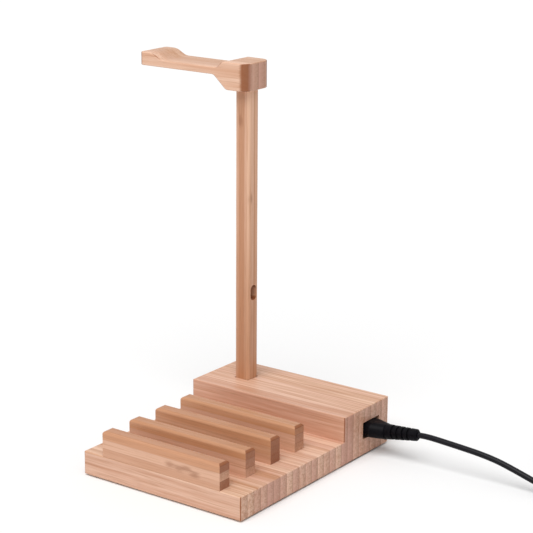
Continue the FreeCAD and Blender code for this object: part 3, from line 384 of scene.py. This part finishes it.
    def soft_mask(
        self, tree: bpy.types.NodeTree, value: bpy.types.NodeSocket, limits: tuple[float, float]
    ) -> bpy.types.NodeSocket:
        """Turn a value into a mask with soft edges.

        Args:
            tree: The material's tree.
            value: The value to turn.
            limits: Where the mask is 0 and where it is 1, in either order.

        Returns:
            The mask, from 0 to 1.
        """
        start, end = limits
        left, right = (0.0, 1.0) if start < end else (1.0, 0.0)
        return add_node(
            tree, "MapRange", {0: value, 1: min(limits), 2: max(limits), 3: left, 4: right},
            interpolation_type="SMOOTHSTEP",
        )

    def blend(
        self,
        tree: bpy.types.NodeTree,
        colour: bpy.types.NodeSocket,
        other: str,
        mask: bpy.types.NodeSocket,
        most: float,
    ) -> bpy.types.NodeSocket:
        """Lean a colour towards another where a mask is high.

        Args:
            tree: The material's tree.
            colour: The colour so far.
            other: The colour to lean to.
            mask: Where to lean, from 0 to 1.
            most: Share of the other colour where the mask is 1.

        Returns:
            The blended colour.
        """
        share = add_node(tree, "Math", {0: mask, 1: most}, operation="MULTIPLY", use_clamp=True)
        return add_node(tree, "Mix", {0: share, 6: colour, 7: linear_colour(other)}, 2, data_type="RGBA")

    def on_ends(
        self,
        tree: bpy.types.NodeTree,
        mask: bpy.types.NodeSocket,
        end: bpy.types.NodeSocket,
        least: float,
    ) -> bpy.types.NodeSocket:
        """Weaken a mask on the long faces, where it keeps only its least share."""
        share = add_node(tree, "MapRange", {0: end, 3: least, 4: 1.0})
        return add_node(tree, "Math", {0: mask, 1: share}, operation="MULTIPLY")

    def strip_colour(
        self, tree: bpy.types.NodeTree, tones: Any, streaks: bpy.types.NodeSocket
    ) -> bpy.types.NodeSocket:
        """Give each strip its own tone, streaked along the grain.

        Args:
            tree: The material's tree.
            tones: The strip's own random values.
            streaks: Texture of the streaks.

        Returns:
            The strip's colour.
        """
        share = add_node(
            tree, "Math", {0: tones[1], 1: self.TONE_GAIN, 2: self.TONE_START}, operation="MULTIPLY_ADD"
        )
        share = add_node(
            tree, "Math", {0: streaks, 1: self.STREAK_GAIN, 2: share}, operation="MULTIPLY_ADD",
            use_clamp=True,
        )
        colour = add_node(
            tree, "Mix", {0: share, 6: linear_colour(self.pale), 7: linear_colour(self.deep)}, 2,
            data_type="RGBA",
        )
        return self.blend(tree, colour, self.blush, tones[2], self.BLUSH_SHARE)

    def inside(
        self, tree: bpy.types.NodeTree, place: bpy.types.NodeSocket, limits_mm: tuple[float, float]
    ) -> bpy.types.NodeSocket:
        """Mask the places between two limits, with crisp edges.

        Args:
            tree: The material's tree.
            place: Place along an axis in millimetres.
            limits_mm: Lower and upper limit.

        Returns:
            The mask, from 0 to 1.
        """
        low, high = limits_mm
        above = self.soft_mask(tree, place, (low, low + self.GLUE_MM))
        below = self.soft_mask(tree, place, (high + self.GLUE_MM, high))
        return add_node(tree, "Math", {0: above, 1: below}, operation="MULTIPLY")

    def marked(
        self,
        tree: bpy.types.NodeTree,
        colour: bpy.types.NodeSocket,
        place: bpy.types.NodeSocket,
        middle: tuple[float, float, float],
        fibres: bpy.types.NodeSocket,
    ) -> bpy.types.NodeSocket:
        """Lay a brown growth mark over a colour.

        Args:
            tree: The material's tree.
            colour: The colour so far.
            place: Place in millimetres.
            middle: Middle of the mark in millimetres.
            fibres: Texture that frays the mark's edge.

        Returns:
            The colour with the mark.
        """
        length, width = self.MARK_MM
        scale = tuple(1 / length if axis is self.grain else 1 / width for axis in Axis)
        apart = add_node(tree, "VectorMath", {0: place, 1: middle}, operation="SUBTRACT")
        apart = add_node(tree, "VectorMath", {0: apart, 1: scale}, operation="MULTIPLY")
        apart = add_node(tree, "VectorMath", {0: apart}, "Value", operation="LENGTH")
        frayed = add_node(tree, "Math", {0: fibres, 1: self.FRAY, 2: apart}, operation="MULTIPLY_ADD")
        mark = self.soft_mask(tree, frayed, self.MARK_LIMITS)
        return self.blend(tree, colour, self.MARK, mark, self.MARK_SHARE)

    def with_end_grain(
        self,
        tree: bpy.types.NodeTree,
        colour: bpy.types.NodeSocket,
        facing: Any,
        end: bpy.types.NodeSocket,
        tones: Any,
    ) -> bpy.types.NodeSocket:
        """Tint the ends, where the open fibres drink the lacquer, each strip by its own amount.

        Args:
            tree: The material's tree.
            colour: The colour so far.
            facing: How squarely the face looks along x, y and z, from 0 to 1.
            end: Mask of the ends.
            tones: The strip's own random values.

        Returns:
            The tinted colour, brown where an upright rounding cuts the fibres at a slant.
        """
        cut = self.soft_mask(tree, facing[self.grain.value], self.SLANT_LIMITS)
        along_stack = self.soft_mask(tree, facing[self.stack.value], self.ROUNDING_LIMITS)
        slant = add_node(tree, "Math", {0: cut, 1: along_stack}, operation="MULTIPLY")
        colour = self.blend(tree, colour, self.OBLIQUE, slant, self.OBLIQUE_SHARE)
        drink = add_node(tree, "MapRange", {0: tones[1], 3: 0.0, 4: self.MOST_DRINK})
        drink = add_node(tree, "Math", {0: drink, 1: end}, operation="MULTIPLY")
        return self.blend(tree, colour, self.end_tone, drink, 1.0)


@dataclass(frozen=True)
class Finish:
    """A material of one colour with a fine uneven grain.

    Attributes:
        name: Name of the material.
        colour: Main colour.
        shade: Colour of the grain.
        grain_mm: Size of a speck of the grain along x, y and z.
        roughness: Roughness between the specks and on them.
        relief_mm: Height of the grain.
        metallic: 1 for bare metal.
        ior: Index of refraction, the shader's default for metal.
        coat: Weight of a clear top layer.
        specular: Strength of the surface's reflection.
    """

    name: str
    colour: str
    shade: str
    grain_mm: tuple[float, float, float]
    roughness: tuple[float, float]
    relief_mm: float = 0.0
    metallic: float = 0.0
    ior: float = 1.5
    coat: float = 0.0
    specular: float = 0.5

    SPECK_LIMITS = (0.35, 0.65)
    BUMP_STRENGTH = 0.5

    def material(self) -> bpy.types.Material:
        """Build the material, or find it where another piece has it already.

        Returns:
            The material, with its grain on Object coordinates in millimetres.
        """
        if self.name in bpy.data.materials:
            return bpy.data.materials[self.name]
        made = empty_material(self.name)
        tree = made.node_tree
        place = add_node(tree, "TexCoord", output="Object")
        scale = tuple(1 / (size * MILLIMETRE) for size in self.grain_mm)
        place = add_node(tree, "VectorMath", {0: place, 1: scale}, operation="MULTIPLY")
        grain = add_node(tree, "TexNoise", {"Vector": place, "Scale": 1.0, "Detail": 3.0})
        low, high = self.SPECK_LIMITS
        speck = add_node(tree, "MapRange", {0: grain, 1: low, 2: high})
        colour = add_node(
            tree, "Mix", {0: speck, 6: linear_colour(self.colour), 7: linear_colour(self.shade)}, 2,
            data_type="RGBA",
        )
        smooth, rough = self.roughness
        gloss = add_node(tree, "MapRange", {0: speck, 3: smooth, 4: rough})
        values = {
            "Base Color": colour, "Roughness": gloss, "Metallic": self.metallic, "IOR": self.ior,
            "Coat Weight": self.coat, "Specular IOR Level": self.specular,
        }
        if self.relief_mm:
            values["Normal"] = add_node(
                tree, "Bump",
                {
                    "Height": grain, "Strength": self.BUMP_STRENGTH,
                    "Distance": self.relief_mm * MILLIMETRE,
                },
            )
        surface = add_node(tree, "BsdfPrincipled", values)
        add_node(tree, "OutputMaterial", {"Surface": surface})
        return made


# Turned beech: short pale flecks along the dowel, left raw.
BEECH = Finish("turned_beech", "#D9B88E", "#C49C6F", (0.8, 0.8, 6.0), (0.62, 0.72), 0.03)
# Moulded ABS: spark-eroded mould steel leaves a matt grain, here drawn coarser than its real 0.1 mm.
ABS = Finish("moulded_abs", "#1B1B1D", "#232325", (0.4, 0.4, 0.4), (0.46, 0.58), 0.03)
# Moulded flexible vinyl: a deep black skin with a soft sheen and a faint orange peel.
VINYL = Finish(
    "moulded_vinyl", "#0A090C", "#0E0D11", (1.6, 1.6, 1.6), (0.34, 0.42), 0.02, specular=0.06
)
# Extruded vinyl sheath: the die leaves it smoother, so that it catches more of the room.
SHEATH = Finish(
    "extruded_vinyl", "#0D0C11", "#121117", (4.0, 1.6, 1.6), (0.30, 0.38), 0.01, specular=0.16
)
# Foamed rubber: closed cells make a dull, finely pitted face.
FOAM = Finish("foamed_rubber", "#1A1A1A", "#2A2A2A", (0.7, 0.7, 0.7), (0.82, 0.92), 0.12)
# Bright zinc plate: a cool grey with a cloudy lustre from the plating bath.
ZINC = Finish("zinc_plated_steel", "#C6CACF", "#AEB4BC", (1.2, 1.2, 1.2), (0.26, 0.40), 0.01, 1.0)
# Turned brass: fine tool lines round the axis blur its warm reflections.
BRASS = Finish("turned_brass", "#D9B566", "#C59C4C", (2.0, 2.0, 0.25), (0.24, 0.36), 0.01, 1.0)
# Nickel plate: warm silver, smooth from drawing, with faint lines along the pin.
NICKEL = Finish("nickel_plated_brass", "#D3CFC6", "#BDB8AD", (6.0, 0.4, 0.4), (0.16, 0.28), 0.0, 1.0)
# Stamped sheet steel: rolling leaves faint lines along the strip.
SHEET_STEEL = Finish(
    "stamped_sheet_steel", "#CDD0D3", "#B4B8BD", (0.35, 8.0, 0.35), (0.24, 0.36), 0.0, 1.0
)
# Gold flash over nickel: a thin soft yellow film on a smooth spring.
GOLD_FLASH = Finish(
    "gold_flashed_contact", "#E8C36A", "#D7AE52", (0.3, 3.0, 0.3), (0.20, 0.30), 0.0, 1.0
)
# Glass-fibre laminate: the weave shows through the green mask as a faint mottle.
LAMINATE = Finish(
    "glass_fibre_laminate", "#1F6B3A", "#185530", (0.9, 0.9, 0.9), (0.30, 0.42), 0.02, coat=0.2
)
# Moulded nylon: milky white and slightly waxy.
NYLON = Finish("moulded_nylon", "#E9E7E0", "#DEDBD2", (0.8, 0.8, 0.8), (0.38, 0.46), 0.01)
# Pressed ferrite: a dark ceramic with a sintered, sandy face.
FERRITE = Finish("pressed_ferrite", "#3A3A3D", "#2C2C2E", (0.5, 0.5, 0.5), (0.58, 0.74), 0.05)
# Polyester winding tape: thin yellow film with a slack, glossy wrap.
TAPE = Finish("polyester_tape", "#E3B023", "#D39F18", (4.0, 1.0, 1.0), (0.22, 0.34), 0.05, coat=0.3)
# Shrink sleeve: dark blue film drawn tight over the can.
SLEEVE = Finish("shrink_sleeve", "#1D2A4A", "#16213B", (1.5, 1.5, 5.0), (0.26, 0.36), 0.02, coat=0.3)


@dataclass
class Woodwork:
    """Base, rear block, front rail, dividers, post and arm, with the dowels that hold them.

    Attributes:
        nodes: The CAD model's pieces by name.
        strip_mm: Width of the strips in the base and the block, which share them.
        rail_strip_mm: Height of the strips in the rail and the dividers.
        post_strip_mm: Width of the strips in the post.
        post_edge_mm: Place of one strip's edge in the post, from its middle.
        post_painted_shade_mm: Stretch of painted shade down the middle of the post's sides, from its
            middle.
        post_painted_shade_aside_mm: Stretch of painted shade down the middle of its front and back, from
            its middle.
        post_fade_mm: Heights from which and by which its colour runs into the dark one.
        arm_strip_mm: Width of the strips in the arm.
        rail_marks_mm: Middles of the growth marks on the front rail.
        post_marks_mm: Middles of the growth marks on the post.
    """

    nodes: Nodes
    strip_mm: float = 7.0
    rail_strip_mm: float = 5.9
    post_strip_mm: float = 6.4
    post_edge_mm: float = 0.5
    post_painted_shade_mm: tuple[float, float] = (-0.2, 1.2)
    post_painted_shade_aside_mm: tuple[float, float] = (-2.7, 2.1)
    post_fade_mm: tuple[float, float] = (190.0, 70.0)
    arm_strip_mm: float = 7.2
    rail_marks_mm: tuple[tuple[float, float, float], ...] = (
        (15.4, -84.7, 24.4),
        (8.2, -84.7, 25.2),
        (21.8, -84.7, 25.8),
        (28.4, -84.7, 23.6),
    )
    post_marks_mm: tuple[tuple[float, float, float], ...] = (
        (-38.6, 51.65, 220.0),
        (-31.6, 54.6, 166.0),
    )

    # Numbers that pick the strips' tones.
    SLAB_SEED = 11.0
    RAIL_SEED, RAIL_SEED_STEP = 220.0, 5
    POST_SEED = 41.0
    ARM_SEED = 57.0

    def dress(self) -> None:
        """Give each wooden piece its bamboo or beech."""
        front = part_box("base_board")[0][1] / MILLIMETRE
        slab = Bamboo("bamboo_slab", Axis.X, Axis.Y, self.strip_mm, front, self.SLAB_SEED).material()
        for name in ("base_board", "rear_block"):
            dress(self.nodes[name], slab)
        self.dress_rails()
        self.dress_post()
        self.dress_arm()
        for name in ("rail_dowels", "block_dowels", "arm_dowel"):
            dress(self.nodes[name], BEECH.material())

    def dress_rails(self) -> None:
        """Give the front rail and the dividers strips that lie on each other."""
        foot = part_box("front_rail")[0][2] / MILLIMETRE
        upper_strips = (foot + 2 * self.rail_strip_mm, foot + 4 * self.rail_strip_mm)
        for number, name in enumerate(("front_rail", "divider_1", "divider_2", "divider_3")):
            rail = Bamboo(
                "bamboo_" + name, Axis.X, Axis.Z, self.rail_strip_mm, foot,
                self.RAIL_SEED + self.RAIL_SEED_STEP * number,
                pale="#D8AD90", deep="#BF8E6C", blush="#CFA08A", end_tone="#7A3614", dark="#BF855B",
                dark_mm=upper_strips, marks_mm=self.rail_marks_mm if name == "front_rail" else (),
            )
            dress(self.nodes[name], rail.material())

    def dress_post(self) -> None:
        """Give the post upright strips, with painted shade down the middle of its faces, and darker
        towards its foot.
        """
        middle, centre = self.middle_mm("post", Axis.Y), self.middle_mm("post", Axis.X)
        post = Bamboo(
            "bamboo_post", Axis.Z, Axis.Y, self.post_strip_mm, middle + self.post_edge_mm,
            self.POST_SEED,
            pale="#E8BFA2", deep="#D2A07E", blush="#DDB098", dark="#B07346",
            # The darker stretches are painted shade down the middle of each face, between the lighter
            # rounded edges.
            dark_mm=(middle + self.post_painted_shade_mm[0], middle + self.post_painted_shade_mm[1]),
            painted_shade_aside_mm=(centre + self.post_painted_shade_aside_mm[0], centre + self.post_painted_shade_aside_mm[1]),
            fade_mm=self.post_fade_mm, marks_mm=self.post_marks_mm,
        )
        dress(self.nodes["post"], post.material())

    def dress_arm(self) -> None:
        """Give the arm strips along its length; all but the front one are darkened, which paints shade
        on the arm's top.
        """
        middle = self.middle_mm("hanger_arm", Axis.Y)
        arm = Bamboo(
            "bamboo_arm", Axis.X, Axis.Y, self.arm_strip_mm, middle, self.ARM_SEED,
            pale="#F2CFB6", deep="#D5A585", blush="#E8BDA8", dark="#B4835F",
            # Painted shade: every strip except the front one is darkened, so the arm's top reads darker
            # than its front.
            dark_mm=(middle - self.arm_strip_mm, middle + 3 * self.arm_strip_mm),
        )
        dress(self.nodes["hanger_arm"], arm.material())

    def middle_mm(self, node: str, axis: Axis) -> float:
        """Middle of a node along an axis, in millimetres."""
        low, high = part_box(node)
        return (low[axis.value] + high[axis.value]) / 2 / MILLIMETRE


@dataclass
class PostFixing:
    """Bolt, washer and threaded insert that hold the post from below.

    Attributes:
        nodes: The CAD model's pieces by name.
    """

    nodes: Nodes

    def dress(self) -> None:
        """Give the fixing its zinc and brass."""
        dress(self.nodes["post_bolt"], ZINC.material())
        dress(self.nodes["post_washer"], ZINC.material())
        dress(self.nodes["post_insert"], BRASS.material())


@dataclass
class Underside:
    """Bottom cover with its screws, and the pads that the station stands on.

    Attributes:
        nodes: The CAD model's pieces by name.
    """

    nodes: Nodes

    def dress(self) -> None:
        """Give the cover, screws and pads their finishes."""
        dress(self.nodes["bottom_cover"], ABS.material())
        dress(self.nodes["cover_screws"], ZINC.material())
        for name in ("front_pad", "side_pads"):
            dress(self.nodes[name], FOAM.material())


@dataclass
class Charger:
    """Charger in the rear block: case, board and what stands on it, and the contacts in its ports.

    Attributes:
        nodes: The CAD model's pieces by name.
        contact_size: Width, length and thickness of a port's contact.
        contact_pitch: Distance between contacts.
        contact_setback: Distance from a port's mouth to the ends of its contacts.
        tongue_thickness: Thickness of the tongue that carries the contacts.
        contact_bevel: Rounding of a contact's edges.
        contacts: Contacts in one port.
        ports: Names of the ports.
        finishes: Pieces that have each finish.
    """

    nodes: Nodes
    contact_size: tuple[float, float, float] = (0.0010, 0.0062, 0.00016)
    contact_pitch: float = 0.0022
    contact_setback: float = 0.0019
    tongue_thickness: float = 0.0019
    contact_bevel: float = 0.00005
    contacts: int = 4
    ports: tuple[str, ...] = ("usb_port_1", "usb_port_2", "usb_port_3")
    finishes: dict[Finish, tuple[str, ...]] = field(
        default_factory=lambda: {
            ABS: ("charger_case_lower", "charger_case_upper", "mains_inlet"),
            ZINC: ("case_screws",),
            LAMINATE: ("charger_board",),
            NYLON: ("usb_tongues",),
            NICKEL: ("inlet_pins",),
            FERRITE: ("transformer_core",),
            TAPE: ("transformer_winding",),
            SLEEVE: ("capacitors",),
        }
    )

    def build_contacts(self) -> bpy.types.Object:
        """Lay a row of gold springs on the tongue of each port.

        Returns:
            The springs of all ports as one piece.
        """
        shape = bmesh.new()
        width, length, thickness = self.contact_size
        for port in self.ports:
            low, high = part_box(port)
            middle = (Vector(low) + Vector(high)) / 2
            level = middle.z + self.tongue_thickness / 2 + thickness / 2
            for number in range(self.contacts):
                x = middle.x + (number - (self.contacts - 1) / 2) * self.contact_pitch
                y = high[1] - self.contact_setback - length / 2
                place = Matrix.Translation((x, y, level))
                place = place @ Matrix.Diagonal((width, length, thickness, 1))
                bmesh.ops.create_cube(shape, size=1.0, matrix=place)
        bmesh.ops.bevel(
            shape, geom=shape.edges[:], offset=self.contact_bevel, affect="EDGES", segments=2,
            profile=0.5, material=-1,
        )
        piece = new_piece("usb_contacts", shape, Body.STATION)
        return piece

    def dress(self) -> None:
        """Give the charger's pieces their finishes."""
        for finish, names in self.finishes.items():
            for name in names:
                dress(self.nodes[name], finish.material())
        for name in self.ports:
            dress(self.nodes[name], SHEET_STEEL.material())
        dress(self.build_contacts(), GOLD_FLASH.material())


@dataclass
class MainsLead:
    """Mains lead: moulded connector and relief, cord, tie and plug.

    Attributes:
        nodes: The CAD model's pieces by name.
        diameter: Diameter of the cord.
        length: Real length of the cord; not used.
        exit_mm: Middle of the strain relief's end, where the cord leaves it.
        route_mm: The free stretch's points, as offsets from there.
        coil_radius_mm: Radius of the innermost turn.
        coil_pitch_mm: Distance between turns that lie side by side.
        coil_rise_mm: Height of the upper layer over the lower one.
        half_turns: Turns in one layer.
        softening: Share of a turn over which the spiral changes from in to out.
        climb_turns: Share of a turn over which the cord climbs to the upper layer.
        points_per_turn: Route points in a turn.
    """

    nodes: Nodes
    diameter: float = 0.004
    length: float = 1.263
    exit_mm: tuple[float, float, float] = (102.317, 63.3, 21.198)
    route_mm: tuple[tuple[float, float, float], ...] = (
        (0.0, 0.0, 0.0),
        (3.97, 0.0, 0.487),
        (12.0, 0.2, 0.3),
        (22.0, 0.6, -0.5),
        (34.0, 1.1, -1.5),
        (46.0, 1.7, -2.7),
        (57.0, 2.2, -4.4),
        (67.0, 2.6, -6.9),
        (80.0, 3.2, -10.9),
        (95.0, 4.0, -15.6),
        (109.2, 4.6, -18.1),
        (121.2, 4.6, -18.1),
    )
    coil_radius_mm: float = 15.5
    coil_pitch_mm: float = 4.6
    coil_rise_mm: float = 4.6
    half_turns: float = 3.729
    softening: float = 0.12
    climb_turns: float = 0.5
    points_per_turn: int = 24

    def coil_offset(self, turn: float) -> Vector:
        """Place of the cord about the coil's middle.

        Args:
            turn: Turns from the middle of the coil's length.

        Returns:
            The offset in metres, at the lower layer's level where the coil starts.
        """
        radius = self.coil_radius_mm + self.coil_pitch_mm * math.hypot(turn, self.softening)
        angle = 2 * math.pi * (turn + self.half_turns) - math.pi / 2
        climb = min(max(turn / self.climb_turns + 0.5, 0.0), 1.0)
        rise = self.coil_rise_mm * (1 - math.cos(math.pi * climb)) / 2
        return Vector((radius * math.cos(angle), radius * math.sin(angle), rise)) * MILLIMETRE

    def route(self) -> list[Vector]:
        """Points that steer the cord, from the relief to the plug.

        Returns:
            The free stretch's points, then those of the coil's turns, then the plug's end.
        """
        relief_end = Vector(self.exit_mm)
        points = [(relief_end + Vector(step)) * MILLIMETRE for step in self.route_mm]
        start = points[-1] + Vector((self.diameter, 0, 0))
        centre = start - self.coil_offset(-self.half_turns)
        steps = round(2 * self.half_turns * self.points_per_turn)
        for step in range(steps + 1):
            turn = self.half_turns * (2 * step / steps - 1)
            points.append(centre + self.coil_offset(turn))
        outward = points[-1] - centre
        heading = Vector((-outward.y, outward.x, 0)).normalized()
        points.append(points[-1] + heading * self.diameter)
        return points

    def build_cord(self) -> bpy.types.Object:
        """Draw the cord as one smooth round curve.

        Returns:
            The cord.
        """
        route = self.route()
        curve = bpy.data.curves.new("mains_cord", "CURVE")
        curve.dimensions = "3D"
        # The points carry the radius, which the curve's box goes by.
        curve.bevel_depth = 1.0
        curve.bevel_resolution = 4
        curve.use_fill_caps = True
        spline = curve.splines.new("NURBS")
        spline.points.add(len(route) - 1)
        for point, place in zip(spline.points, route):
            point.co = (*place, 1.0)
            point.radius = self.diameter / 2
        spline.order_u = 3
        spline.use_endpoint_u = True
        spline.resolution_u = 6
        cord = bpy.data.objects.new("mains_cord", curve)
        bpy.context.scene.collection.objects.link(cord)
        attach(cord, Body.LEAD.value)
        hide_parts("lead_cord", "lead_coil")
        return cord

    def dress(self) -> None:
        """Give the lead its vinyl and its metal."""
        dress(self.build_cord(), SHEATH.material())
        for name in ("lead_connector", "connector_relief", "coil_tie", "plug_relief", "mains_plug"):
            dress(self.nodes[name], VINYL.material())
        dress(self.nodes["connector_nose"], ABS.material())
        dress(self.nodes["connector_contacts"], BRASS.material())
        dress(self.nodes["plug_pins"], NICKEL.material())


@dataclass
class Studio:
    """White table, soft light from above, and the camera.

    Attributes:
        floor_radius: Reach of the table.
        floor_colour: Colour of the table.
        key_strength: Strength of the light from above.
        key_tilt: Degrees that the key stands off from straight above, to the front and to the right.
        key_spread: Degrees that the key spans, which softens its shadows.
        room_level: Light that comes from all round.
        camera_place: Place of the camera.
        camera_turn: Azimuth, elevation and roll of the camera in degrees.
        lens_mm: Focal length on a 36 mm sensor.
    """

    floor_radius: float = 8.0
    floor_colour: str = "#F4F4F4"
    key_strength: float = 2.4
    key_tilt: tuple[float, float] = (31.0, 8.0)
    key_spread: float = 50.0
    room_level: float = 0.48
    camera_place: tuple[float, float, float] = (0.67528, -0.89721, 0.45547)
    camera_turn: tuple[float, float, float] = (36.077, 15.901, 0.358)
    lens_mm: float = 119.88

    def build(self) -> None:
        """Set up the table, the lights and the camera."""
        bpy.context.scene.view_settings.view_transform = "Standard"
        self.build_floor()
        self.build_lights()
        self.build_camera()

    def build_floor(self) -> None:
        """Lay a round white table under the object."""
        shape = bmesh.new()
        bmesh.ops.create_circle(shape, cap_ends=True, segments=64, radius=self.floor_radius)
        mesh = bpy.data.meshes.new("table")
        shape.to_mesh(mesh)
        shape.free()
        floor = bpy.data.objects.new("table", mesh)
        bpy.context.scene.collection.objects.link(floor)
        paper = empty_material("matt_white_paper")
        tree = paper.node_tree
        surface = add_node(
            tree, "BsdfPrincipled",
            {
                "Base Color": linear_colour(self.floor_colour), "Roughness": 0.9,
                "Specular IOR Level": 0.0,
            },
        )
        add_node(tree, "OutputMaterial", {"Surface": surface})
        dress(floor, paper)

    def build_lights(self) -> None:
        """Hang one broad key light in an even white room."""
        lamp = bpy.data.lights.new("key", "SUN")
        lamp.energy = self.key_strength
        lamp.angle = math.radians(self.key_spread)
        key = bpy.data.objects.new("key", lamp)
        forward, right = (math.radians(angle) for angle in self.key_tilt)
        key.rotation_euler = Euler((forward, right, 0.0))
        bpy.context.scene.collection.objects.link(key)

        room = bpy.data.worlds.new("white_room")
        room.use_nodes = True
        tree = room.node_tree
        tree.nodes.clear()
        rays = add_node(tree, "LightPath").node.outputs
        seen = add_node(
            tree, "Math", {0: rays["Is Camera Ray"], 1: rays["Is Glossy Ray"]}, operation="MAXIMUM"
        )
        seen = add_node(tree, "Math", {0: seen, 1: rays["Is Transmission Ray"]}, operation="MAXIMUM")
        level = add_node(tree, "MapRange", {0: seen, 3: self.room_level, 4: 1.0})
        light = add_node(tree, "Background", {"Color": linear_colour("#FFFFFF"), "Strength": level})
        add_node(tree, "OutputWorld", {"Surface": light})
        bpy.context.scene.world = room

    def build_camera(self) -> None:
        """Stand the camera where the photograph was taken from."""
        lens = bpy.data.cameras.new("camera")
        lens.sensor_width = 36.0
        lens.lens = self.lens_mm
        camera = bpy.data.objects.new("camera", lens)
        azimuth, elevation, roll = (math.radians(angle) for angle in self.camera_turn)
        turn = Matrix.Rotation(azimuth, 4, "Z") @ Matrix.Rotation(math.pi / 2 - elevation, 4, "X")
        turn = turn @ Matrix.Rotation(roll, 4, "Z")
        camera.matrix_world = Matrix.Translation(self.camera_place) @ turn
        bpy.context.scene.collection.objects.link(camera)
        bpy.context.scene.camera = camera


def main() -> None:
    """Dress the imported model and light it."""
    logging.basicConfig(level=logging.INFO, format="%(name)s: %(message)s")
    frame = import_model()
    nodes = frame["nodes"]
    Studio().build()
    MainsLead(nodes).dress()
    Woodwork(nodes).dress()
    PostFixing(nodes).dress()
    Underside(nodes).dress()
    Charger(nodes).dress()
    bpy.context.view_layer.update()


if __name__ == "__main__":
    main()
